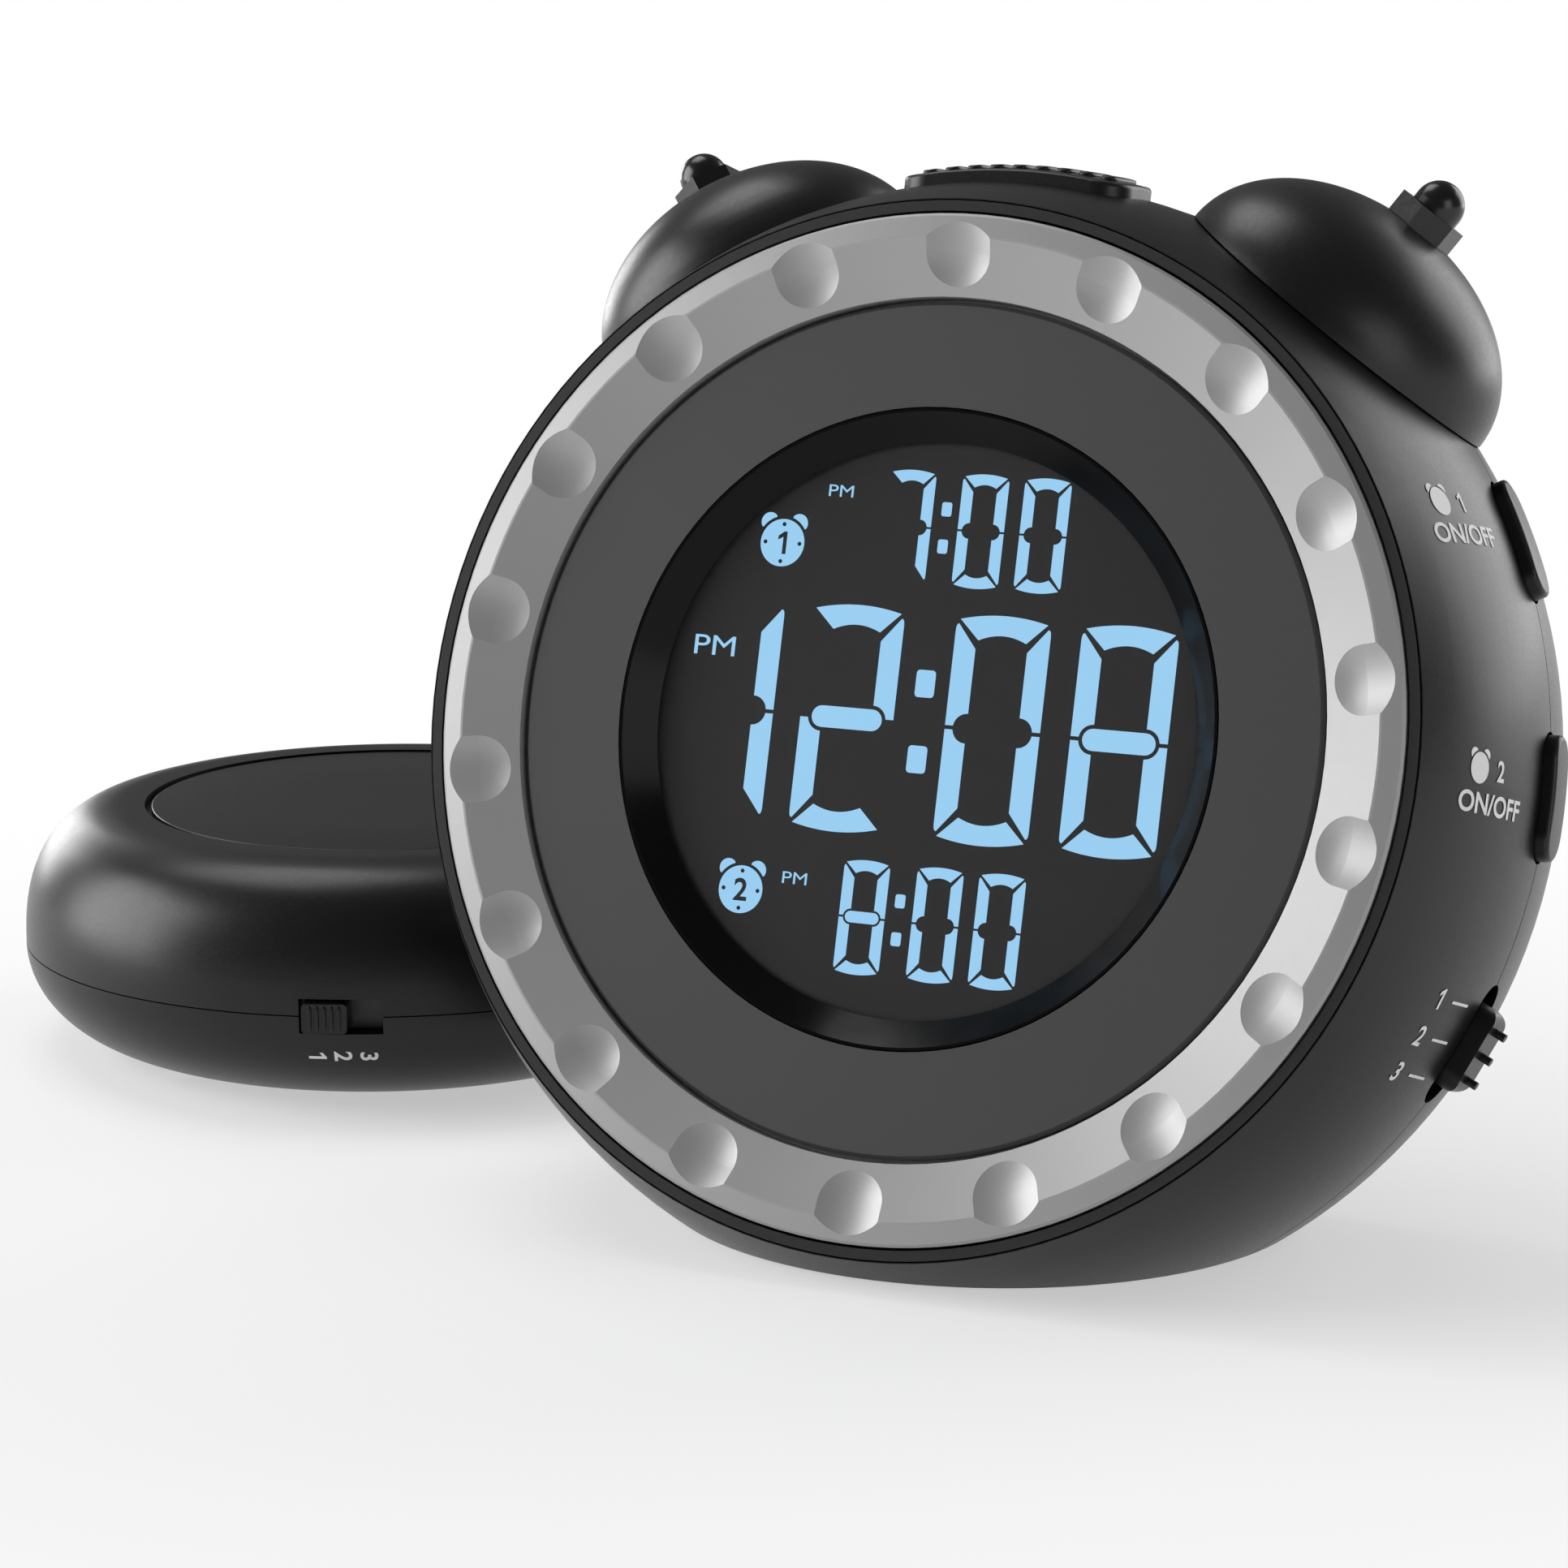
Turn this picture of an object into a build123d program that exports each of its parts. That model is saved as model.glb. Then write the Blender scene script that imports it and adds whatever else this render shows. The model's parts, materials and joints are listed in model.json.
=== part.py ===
from build123d import *
import math
import os

# Round alarm clock leaning back on a flat foot, with a round bed shaker beside it.
# Millimetres, Z up, the clock looks along -Y. The origin is on the table under the clock.
# Inside the drum each piece is drawn about the drum axis: radius out from it, depth back from the face.

# placing of the clock
lean_angle = 16.1
foot_cut = 9.04
foot_seam_place = 1.87

# turning ring with finger dimples
ring_radius = 54.0
ring_width = 8.6
ring_bevel_width = 2.45
ring_crest_rise = 0.35
ring_dish_drop = 1.55
ring_edge_chamfer = 0.3
ring_thickness = 4.6
ring_ledge_reach = 1.6
ring_ledge_thickness = 0.6
ring_clearance = 0.3
dimple_count = 18
dimple_inset = 4.3
dimple_groove_radius = 8.9
dimple_sink = 0.72
dimple_groove_length = 7.0
ring_crest_flat = 0.12

# contact leaf under the ring and its board
leaf_count = 3
leaf_sweep = 30.0
leaf_thickness = 0.4
leaf_margin = 3.2
leaf_board_gap = 0.35
code_board_thickness = 1.2
code_board_margin = 0.3

# front rim that carries the ring
rim_band = 1.1
rim_front_drop = 0.4
rim_floor_thickness = 1.2
rim_step_depth = 5.0
rim_step = 0.4
hub_wall = 1.6
hub_rear_depth = 11.0
rim_seam = 0.15

# face plate and glossy recess of the display
plate_clearance = 0.4
plate_drop = 2.0
plate_ledge_gap = 0.5
plate_edge_chamfer = 0.45
plate_width = 11.34
recess_run = 3.19
recess_lip = 0.3
recess_seat_gap = 0.15
recess_depth = 2.7
recess_flange_thickness = 1.0

# display stack
window_thickness = 0.4
window_overlap = 1.3
stack_gap = 0.05
panel_thickness = 2.0
light_thickness = 2.6
frame_wall = 3.6
frame_web = 1.0
frame_web_reach = 3.0
strip_width = 2.0
strip_place_share = 0.7

# barrel shaped case
case_lip_depth = 0.5
case_lip = 0.1
case_swell = 5.75
case_crown_depth = 25.4
case_wall = 2.2
seam_depth = 27.8
seam_gap = 0.2
cover_length = 18.7
back_round = 10.3
floor_thickness = 1.4
foot_gap = 0.3
rim_stop_thickness = 1.5
rim_stop_reach = 3.0
rim_stop_gap = 0.2

# rubber pads under the clock
pad_thickness = 0.8
pad_width = 34.0
pad_seam_gap = 0.8
front_pad_length = 11.5
rear_pad_length = 13.0
pad_clearance = 0.1

# case screws
screw_count_angles = (40.0, 140.0, 225.0, 315.0)
screw_inset = 11.8
column_radius = 4.0
screw_radius = 1.5
screw_hole_clearance = 0.1
screw_head_radius = 2.7
screw_head_height = 2.0
screw_shoulder = 6.0
screw_bite = 10.0

# twin bells
bell_angle = 35.0
bell_radius = 19.5
bell_height = 13.85
bell_wall = 1.2
bell_sink = 3.2
bell_depth = 26.4
bell_skirt = 1.4
bell_case_gap = 0.15
bell_crown_flat = 0.35
bell_post_radius = 5.0
bell_post_gap = 0.15
bell_post_inset = 1.2
stud_radius = 2.0
stud_clearance = 0.1
stud_head_radius = 3.6
stud_head_height = 2.4
nut_flats = 7.0
nut_hex_height = 2.6
nut_dome_radius = 2.75
nut_neck = 0.85
nut_bore_depth = 3.0
nut_turn = 30.0
nut_rest_gap = 0.02

# controls on the side of the case
control_clearance = 0.3
board_inset = 10.4
board_thickness = 1.2
board_tail = 5.0
board_width = 9.0
post_thickness = 1.5
post_width = 6.0
press_switch_size = 6.0
press_switch_height = 3.5
plunger_radius = 1.7
plunger_height = 1.0
stem_radius = 1.7
button_edge_radius = 0.5
flange_lip = 1.1
flange_thickness = 1.0

snooze_length = 26.0
snooze_width = 12.0
snooze_corner = 3.5
snooze_depth = 17.2
snooze_rise = 1.35
snooze_travel = 0.5

alarm_angles = (64.1, 89.8)
alarm_length = 13.3
alarm_width = 5.6
alarm_rise = 1.45
alarm_travel = 0.8

mode_angle = 115.4
mode_slot_length = 14.4
mode_slot_width = 5.8
mode_knob_length = 9.8
mode_knob_width = 5.0
mode_knob_corner = 1.5
mode_knob_end_radius = 2.3
mode_rise = 2.1
mode_travel = 2.0
mode_pin_count = 3
mode_pin_radius = 0.45
mode_pin_height = 1.2
mode_pin_pitch = 2.9
mode_body_length = 14.0
mode_body_width = 5.0
mode_body_height = 4.5

# boards inside the drum
main_board_overlap = 1.0
main_board_thickness = 1.6
chip_size = 10.0
chip_height = 1.6
chip_places_share = ((0.30, 0.28), (-0.34, 0.22), (0.05, -0.38))
can_radius = 3.0
can_height = 6.5
can_places_share = ((-0.1, 0.55), (0.1, 0.55), (-0.55, -0.3))

# rear board with sockets, knob and buttons
rear_board_left_share = -0.064
rear_board_right_share = 0.81
rear_board_top_share = 0.13
rear_board_floor_gap = 6.0
rear_post_lift_share = 0.4
board_notch_clearance = 0.5
rear_board_thickness = 1.6
rear_board_back_gap = 11.3
rear_post_radius = 2.5
rear_button_radius = 4.0
rear_button_rise = 1.0
rear_button_travel = 1.0
rear_button_places_share = ((0.17, -0.3), (0.555, -0.3))
volume_place_share = (0.362, -0.02)
volume_knob_radius = 7.0
volume_knob_rise = 1.6
volume_pot_size = 9.0
volume_pot_height = 5.0
volume_shaft_radius = 2.0
socket_width = 9.0
inlet_across_share = 0.19
inlet_bore_radius = 2.8
inlet_pin_radius = 1.0
inlet_pin_inset = 1.0
jack_across_share = 0.48
socket_board_inset = 8.5
jack_bore_radius = 1.8
jack_nose_radius = 4.0
jack_depth = 10.5
socket_floor = 1.0

# speaker behind the rear grille
speaker_height_share = 0.533
speaker_radius = 15.0
speaker_flange = 1.4
speaker_basket_depth = 6.0
speaker_basket_wall = 0.8
speaker_magnet_radius = 8.0
speaker_magnet_depth = 4.5
speaker_taper = 5.7
cone_thickness = 0.5
cone_sink = 3.2
cone_neck_radius = 4.0
grille_slot_width = 1.6
grille_slot_pitch = 4.0
grille_inset = 2.0

# backup cell behind its door
door_thickness = 1.6
door_place_share = (-0.49, -0.3)
door_clearance = 0.3
door_pin_radius = 0.6
door_pin_length = 1.0
door_pin_clearance = 0.05
cell_radius = 10.0
cell_edge_gap = 3.2
cell_thickness = 3.2
cell_clearance = 0.3
cell_floor = 1.5
cell_contact_thickness = 0.3
cell_contact_width = 5.0

# bed shaker
shaker_tuck = 10.6
shaker_set_back = 3.7
shaker_turn = 22.3
shaker_radius = 44.5
shaker_waist_height = 12.9
shaker_top_height = 29.3
shaker_bottom_gap = 0.3
shaker_bottom_run = 16.0
shaker_top_run = 13.1
shaker_fullness = 2.43
shaker_curve_points = 10
shaker_wall = 2.2
shaker_seam = 0.15
label_inset = 1.9
label_clearance = 0.1
label_thickness = 0.8
label_sink = 0.35
shaker_pad_inset = 2.5
shaker_pad_width = 8.0
shaker_pad_thickness = 0.9
level_slot_length = 9.8
level_slot_height = 4.2
level_knob_length = 5.3
level_knob_height = 3.5
level_knob_corner = 0.5
level_knob_rise = 0.9
level_edge_gap = 0.45
level_travel = 3.6
level_body_length = 11.0
level_body_height = 4.2
level_body_depth = 4.0
level_body_gap = 0.4
level_board_length = 22.0
level_board_height = 11.0
level_board_thickness = 1.6
motor_length = 24.0
motor_floor_gap = 1.7
motor_roof_gap = 2.9
motor_left = -19.0
motor_shaft_radius = 1.0
motor_shaft_reach = 11.0
motor_shaft_clearance = 0.05
weight_inset = 1.0
weight_length = 8.0
weight_gap = 1.2
weight_hub_radius = 3.0
cradle_wall = 2.0
cradle_length = 5.0
cradle_inset = 3.0
cradle_clearance = 0.05
column_edge_inset = 12.5
shaker_column_radius = 3.4
shaker_screw_radius = 1.25
shaker_screw_head_radius = 2.4
shaker_screw_head_height = 1.6
shaker_screw_shoulder = 3.4
shaker_screw_bite = 7.0
gland_radius = 4.0
gland_bore_radius = 1.75
gland_flange = 1.2
gland_flange_thickness = 1.4
gland_inside = 3.0

# one overrun for all cuts
overrun = 1.0

# worked out sizes of the ring, the rim and the face
ring_inner_radius = ring_radius - ring_width
ring_crest_radius = ring_radius - ring_bevel_width
dimple_circle_radius = ring_radius - dimple_inset
ledge_radius = ring_inner_radius - ring_ledge_reach
rim_inner_radius = ring_radius + ring_clearance
rim_radius = rim_inner_radius + rim_band
hub_radius = ledge_radius - ring_clearance
hub_inner_radius = hub_radius - hub_wall
leaf_back_depth = ring_thickness + leaf_thickness
code_board_depth = leaf_back_depth + leaf_board_gap
rim_floor_depth = code_board_depth + code_board_thickness
rim_back_depth = rim_floor_depth + rim_floor_thickness
plate_radius = ring_inner_radius - plate_clearance
plate_back_depth = ring_thickness - ring_ledge_thickness - plate_ledge_gap
recess_radius = plate_radius - plate_width
display_radius = recess_radius - recess_run
recess_back_depth = plate_drop + recess_depth
window_depth = recess_back_depth + stack_gap
panel_depth = window_depth + window_thickness + stack_gap
light_depth = panel_depth + panel_thickness + stack_gap
stack_radius = display_radius + window_overlap
frame_radius = stack_radius + frame_wall

# worked out sizes of the case
case_seat_radius = rim_radius + rim_seam
case_front_radius = case_seat_radius + case_lip
case_crown_radius = case_front_radius + case_swell
crown_run = case_crown_depth - case_lip_depth
case_curve = (crown_run**2 + case_swell**2) / (2 * case_swell)
rim_stop_depth = rim_back_depth + rim_stop_gap
main_board_depth = hub_rear_depth
main_board_radius = hub_radius + main_board_overlap
cover_front_depth = seam_depth + seam_gap
back_depth = seam_depth + cover_length
back_inner_depth = back_depth - case_wall
bell_seat_radius = case_crown_radius - bell_sink
board_radius = case_crown_radius - board_inset
screw_circle_radius = case_crown_radius - screw_inset
reach = 4 * case_crown_radius

# worked out placing of the clock on the table
lean_sine = math.sin(math.radians(lean_angle))
lean_cosine = math.cos(math.radians(lean_angle))
centre_height = case_crown_radius * lean_cosine + case_crown_depth * lean_sine - foot_cut


def foot_line(depth, height):
    """Height along the face at which a depth meets a level over the table."""
    return (height - centre_height + depth * lean_sine) / lean_cosine


def barrel_radius(depth):
    """Outer radius of the case at a depth behind the face."""
    return case_crown_radius - case_curve + math.sqrt(case_curve**2 - (depth - case_crown_depth) ** 2)


seam_offset = foot_line(seam_depth, foot_gap) * lean_sine + seam_depth * lean_cosine
centre_forward = seam_offset - foot_seam_place

# worked out layout of the back
flat_radius = barrel_radius(back_depth) - back_round
rear_board_depth = back_inner_depth - rear_board_back_gap
rear_board_face = rear_board_depth + rear_board_thickness
rear_board_left = rear_board_left_share * flat_radius
rear_board_right = rear_board_right_share * flat_radius
rear_board_top = rear_board_top_share * flat_radius
rear_board_bottom = foot_line(back_inner_depth, foot_gap + floor_thickness) + rear_board_floor_gap
rear_post_lift = rear_post_lift_share * flat_radius
rear_button_places = [
    (across * flat_radius, up * flat_radius) for across, up in rear_button_places_share
]
volume_place = (volume_place_share[0] * flat_radius, volume_place_share[1] * flat_radius)
inlet_place = (inlet_across_share * flat_radius, rear_board_bottom + socket_board_inset)
jack_place = (jack_across_share * flat_radius, rear_board_bottom + socket_board_inset)
speaker_height = speaker_height_share * flat_radius
grille_radius = speaker_radius - grille_inset
door_size = 2 * (cell_radius + cell_edge_gap)
door_place = (door_place_share[0] * flat_radius, door_place_share[1] * flat_radius)

# worked out sizes of the shaker
shaker_x = shaker_tuck - case_crown_radius - shaker_radius
shaker_y = shaker_set_back + shaker_radius
shaker_bottom_radius = shaker_radius - shaker_bottom_run
shaker_top_radius = shaker_radius - shaker_top_run
label_radius = shaker_top_radius - label_inset
shaker_pad_outer = shaker_bottom_radius - shaker_pad_inset
shaker_pad_inner = shaker_pad_outer - shaker_pad_width
column_circle_radius = shaker_radius - column_edge_inset
motor_bottom = shaker_bottom_gap + shaker_wall + motor_floor_gap
motor_radius = (shaker_top_height - shaker_wall - motor_roof_gap - motor_bottom) / 2
motor_height = motor_bottom + motor_radius
weight_radius = motor_radius - weight_inset

drum = Plane(
    origin=(0, -centre_forward, centre_height),
    x_dir=(1, 0, 0),
    z_dir=(0, -lean_cosine, lean_sine),
).location

shaker_frame = Pos(shaker_x, shaker_y, 0) * Rot(0, 0, shaker_turn)

os.makedirs("parts", exist_ok=True)


def save(name, shape):
    """Write one piece as its own file."""
    export_step(shape, os.path.join("parts", name + ".step"))


def rod(radius, start, end):
    """Round bar along Z between two heights."""
    return Pos(0, 0, min(start, end)) * Cylinder(
        radius, abs(end - start), align=(Align.CENTER, Align.CENTER, Align.MIN)
    )


def block(length, width, start, end):
    """Square bar along Z between two heights."""
    return Pos(0, 0, min(start, end)) * Box(
        length, width, abs(end - start), align=(Align.CENTER, Align.CENTER, Align.MIN)
    )


def turned(*outline):
    """Solid turned about Z from its outline of radius and depth pairs."""
    points = [(radius, -depth) for radius, depth in outline]
    return revolve(Plane.XZ * make_face(Polyline(*points, close=True)), Axis.Z)


def tube(inner, outer, front, back):
    """Round tube about the drum axis between two depths."""
    return turned((inner, front), (outer, front), (outer, back), (inner, back))


def disc(radius, front, back):
    """Round plate about the drum axis between two depths."""
    return rod(radius, -back, -front)


def barrel(offset, front, back):
    """Full barrel whose side lies a given offset outside the case surface."""
    middle = (front + back) / 2
    rim = [(barrel_radius(depth) + offset, -depth) for depth in (front, middle, back)]
    side = ThreePointArc(*rim)
    rest = Polyline(rim[2], (0, -back), (0, -front), rim[0])
    return revolve(Plane.XZ * make_face(side + rest), Axis.Z)


def side_place(angle, radius, depth):
    """Frame on the drum side: X along the rim clockwise, Y to the rear, Z outwards."""
    turn = math.radians(angle)
    outwards = (math.sin(turn), math.cos(turn), 0)
    along = (math.cos(turn), -math.sin(turn), 0)
    origin = (radius * math.sin(turn), radius * math.cos(turn), -depth)
    return Plane(origin=origin, x_dir=along, z_dir=outwards).location


def above(height):
    """Everything above a height over the table."""
    return block(reach, reach, height, height + reach)


def around(place, shape):
    """Piece moved to a place on the rear wall, given across and up from the drum axis."""
    return Pos(place[0], place[1], 0) * shape


def make_ring():
    """Turning ring: outer bevel, dished face, round ended finger dimples and an inner ledge."""
    ring = turned(
        (ring_inner_radius, ring_dish_drop),
        (ring_crest_radius - ring_crest_flat, -ring_crest_rise),
        (ring_crest_radius + ring_crest_flat, -ring_crest_rise),
        (ring_radius - ring_edge_chamfer, 0),
        (ring_radius, ring_edge_chamfer),
        (ring_radius, ring_thickness),
        (ledge_radius, ring_thickness),
        (ledge_radius, ring_thickness - ring_ledge_thickness),
        (ring_inner_radius, ring_thickness - ring_ledge_thickness),
    )
    dish_fall = ring_dish_drop + ring_crest_rise
    dish_run = ring_crest_radius - ring_crest_flat - ring_inner_radius
    dish_share = (dimple_circle_radius - ring_inner_radius) / dish_run
    dish_tilt = math.atan2(dish_fall, dish_run)
    surface_depth = ring_dish_drop - dish_share * dish_fall
    groove = Sphere(dimple_groove_radius) + rod(dimple_groove_radius, 0, dimple_groove_length)
    lift = Pos(0, 0, dimple_groove_radius - dimple_sink)
    groove = Rot(0, -math.degrees(dish_tilt), 0) * lift * Rot(0, 90, 0) * groove
    grooves = [
        Rot(0, 0, (index + 0.5) * 360 / dimple_count)
        * Pos(dimple_circle_radius, 0, -surface_depth)
        * groove
        for index in range(dimple_count)
    ]
    ring = ring - grooves
    save("setting_ring", drum * ring)

    leaf_outline = (
        (hub_radius + leaf_margin, ring_thickness),
        (ring_radius - leaf_margin, ring_thickness),
        (ring_radius - leaf_margin, leaf_back_depth),
        (hub_radius + leaf_margin, leaf_back_depth),
    )
    points = [(radius, -depth) for radius, depth in leaf_outline]
    leaf = revolve(Plane.XZ * make_face(Polyline(*points, close=True)), Axis.Z, leaf_sweep)
    leaves = [Rot(0, 0, index * 360 / leaf_count) * leaf for index in range(leaf_count)]
    save("ring_contact_leaves", drum * Compound(children=leaves))


def make_rim():
    """Front rim: outer band, channel floor under the ring and the hub that carries the face plate."""
    rim = turned(
        (rim_inner_radius, rim_front_drop),
        (rim_radius, rim_front_drop),
        (rim_radius, rim_step_depth),
        (rim_radius - rim_step, rim_step_depth),
        (rim_radius - rim_step, rim_back_depth),
        (hub_radius, rim_back_depth),
        (hub_radius, hub_rear_depth),
        (hub_inner_radius, hub_rear_depth),
        (hub_inner_radius, plate_back_depth),
        (hub_radius, plate_back_depth),
        (hub_radius, rim_floor_depth),
        (rim_inner_radius, rim_floor_depth),
    )
    save("front_rim", drum * rim)
    board = tube(
        hub_radius + code_board_margin,
        rim_inner_radius - code_board_margin,
        code_board_depth,
        rim_floor_depth,
    )
    save("ring_code_board", drum * board)


def make_face_plate():
    """Face plate and the glossy cone that steps down to the display."""
    plate = turned(
        (recess_radius + recess_seat_gap, plate_drop),
        (plate_radius - plate_edge_chamfer, plate_drop),
        (plate_radius, plate_drop + plate_edge_chamfer),
        (plate_radius, plate_back_depth),
        (recess_radius + recess_seat_gap, plate_back_depth),
    )
    save("face_plate", drum * plate)
    cone = turned(
        (display_radius, recess_back_depth),
        (recess_radius - recess_lip, plate_drop),
        (recess_radius, plate_drop),
        (recess_radius, plate_back_depth),
        (hub_inner_radius - ring_clearance, plate_back_depth),
        (hub_inner_radius - ring_clearance, plate_back_depth + recess_flange_thickness),
        (recess_radius, plate_back_depth + recess_flange_thickness),
        (recess_radius, recess_back_depth),
    )
    save("display_recess", drum * cone)


def make_display():
    """Window, panel, light spreader, their frame and the rubber contact strips."""
    save("display_window", drum * disc(stack_radius, window_depth, window_depth + window_thickness))
    save("display_panel", drum * disc(stack_radius, panel_depth, panel_depth + panel_thickness))
    light_back = light_depth + light_thickness
    save("display_light", drum * disc(stack_radius, light_depth, light_back))
    frame_front = recess_back_depth + stack_gap
    frame = turned(
        (stack_radius + stack_gap, frame_front),
        (frame_radius, frame_front),
        (frame_radius, main_board_depth),
        (stack_radius - frame_web_reach, main_board_depth),
        (stack_radius - frame_web_reach, light_back + stack_gap),
        (stack_radius + stack_gap, light_back + stack_gap),
    )
    save("display_frame", drum * frame)
    strip_length = strip_place_share * 2 * (stack_radius - frame_web_reach - strip_width)
    strip_height = (stack_radius - frame_web_reach) * math.sqrt(1 - strip_place_share**2) - strip_width
    strips = [
        Pos(0, side * strip_height, 0)
        * block(strip_length, strip_width, -main_board_depth, -(light_back + stack_gap))
        for side in (-1, 1)
    ]
    save("contact_strips", drum * Compound(children=strips))


def screw_places():
    """Places of the four case screws about the drum axis."""
    return [
        (
            screw_circle_radius * math.cos(math.radians(angle)),
            screw_circle_radius * math.sin(math.radians(angle)),
        )
        for angle in screw_count_angles
    ]


def bell_places():
    """Frames of the two bells, with Z outwards along each bell axis."""
    return [side_place(side * bell_angle, bell_seat_radius, bell_depth) for side in (-1, 1)]


def control_cuts():
    """Openings in the case side for the alarm buttons and the mode switch."""
    cuts = []
    deep = case_wall + flange_thickness + control_clearance + overrun
    for angle in alarm_angles:
        hole = SlotOverall(alarm_length + 2 * control_clearance, alarm_width + 2 * control_clearance)
        cut = Pos(0, 0, -deep) * extrude(hole, amount=deep + alarm_rise)
        cuts.append(side_place(angle, barrel_radius(seam_depth), seam_depth) * cut)
    hole = SlotOverall(mode_slot_length, mode_slot_width)
    cut = Pos(0, 0, -deep) * extrude(hole, amount=deep + mode_rise)
    cuts.append(side_place(mode_angle, barrel_radius(seam_depth), seam_depth) * cut)
    return cuts


def switch_places():
    """Angle, depth and half width along the depth of the four side controls."""
    places = [(0, snooze_depth, snooze_width / 2 + flange_lip)]
    places += [(angle, seam_depth, alarm_width / 2 + flange_lip) for angle in alarm_angles]
    places.append((mode_angle, seam_depth, mode_slot_width / 2))
    return places


def post_front(depth, half_width):
    """Front depth of the post that carries the board of one side control."""
    return depth - half_width - control_clearance - post_thickness


def board_posts():
    """Posts inside the case that the small switch boards are fixed to."""
    posts = []
    for angle, depth, half_width in switch_places():
        height = barrel_radius(depth) - case_wall / 2 - board_radius
        middle = post_front(depth, half_width) + post_thickness / 2
        post = block(post_width, post_thickness, 0, height + overrun)
        post = side_place(angle, board_radius, middle) * post
        posts.append(post & barrel(-case_wall / 2, 0, back_depth))
    return posts


def make_case():
    """Barrel case: thin front lip, seat for the rim, inner posts and a flat foot."""
    outer = barrel(0, case_lip_depth, seam_depth)
    inner = barrel(-case_wall, rim_stop_depth, seam_depth + overrun)
    shell = drum * outer & above(foot_gap)
    cavity = drum * inner & above(foot_gap + floor_thickness)
    shell = shell - cavity
    shell = shell - drum * disc(case_seat_radius, case_lip_depth - overrun, rim_stop_depth)
    stop = tube(case_seat_radius - rim_stop_reach, barrel_radius(rim_stop_depth) - case_wall / 2,
                rim_stop_depth, rim_stop_depth + rim_stop_thickness)
    shell = shell + (drum * stop & above(foot_gap))
    columns = [
        around(place, rod(column_radius, -seam_depth, -rim_stop_depth)) for place in screw_places()
    ]
    for column in columns:
        shell = shell + drum * column
    for post in board_posts():
        shell = shell + drum * post
    for place in bell_places():
        shell = shell + drum * (place * rod(bell_post_radius, -bell_post_inset, bell_post_height()))
    for place in bell_places():
        bore = rod(stud_radius + stud_clearance, -bell_post_inset - overrun, bell_post_height() + overrun)
        shell = shell - drum * (place * bore)
    for place in screw_places():
        pilot = rod(screw_radius + screw_hole_clearance / 2, -seam_depth - overrun, -seam_depth + screw_bite)
        shell = shell - drum * around(place, pilot)
    for cut in control_cuts():
        shell = shell - drum * cut
    hole = RectangleRounded(
        snooze_length + 2 * control_clearance,
        snooze_width + 2 * control_clearance,
        snooze_corner + control_clearance,
    )
    deep = case_wall + flange_thickness + control_clearance + overrun
    cut = Pos(0, 0, -deep) * extrude(hole, amount=deep + overrun)
    shell = shell - drum * (side_place(0, barrel_radius(snooze_depth), snooze_depth) * cut)
    shell = shell - pad_seat(-1, front_pad_length)
    save("main_case", shell)


def pad_middle(side, length):
    """Place of the middle of a rubber pad in front of or behind the seam."""
    return foot_seam_place + side * (pad_seam_gap + length / 2)


def pad_seat(side, length):
    """Shallow seat in the foot for one rubber pad."""
    seat = block(pad_width + 2 * pad_clearance, length + 2 * pad_clearance, 0, pad_thickness)
    return Pos(0, pad_middle(side, length), 0) * seat


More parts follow.
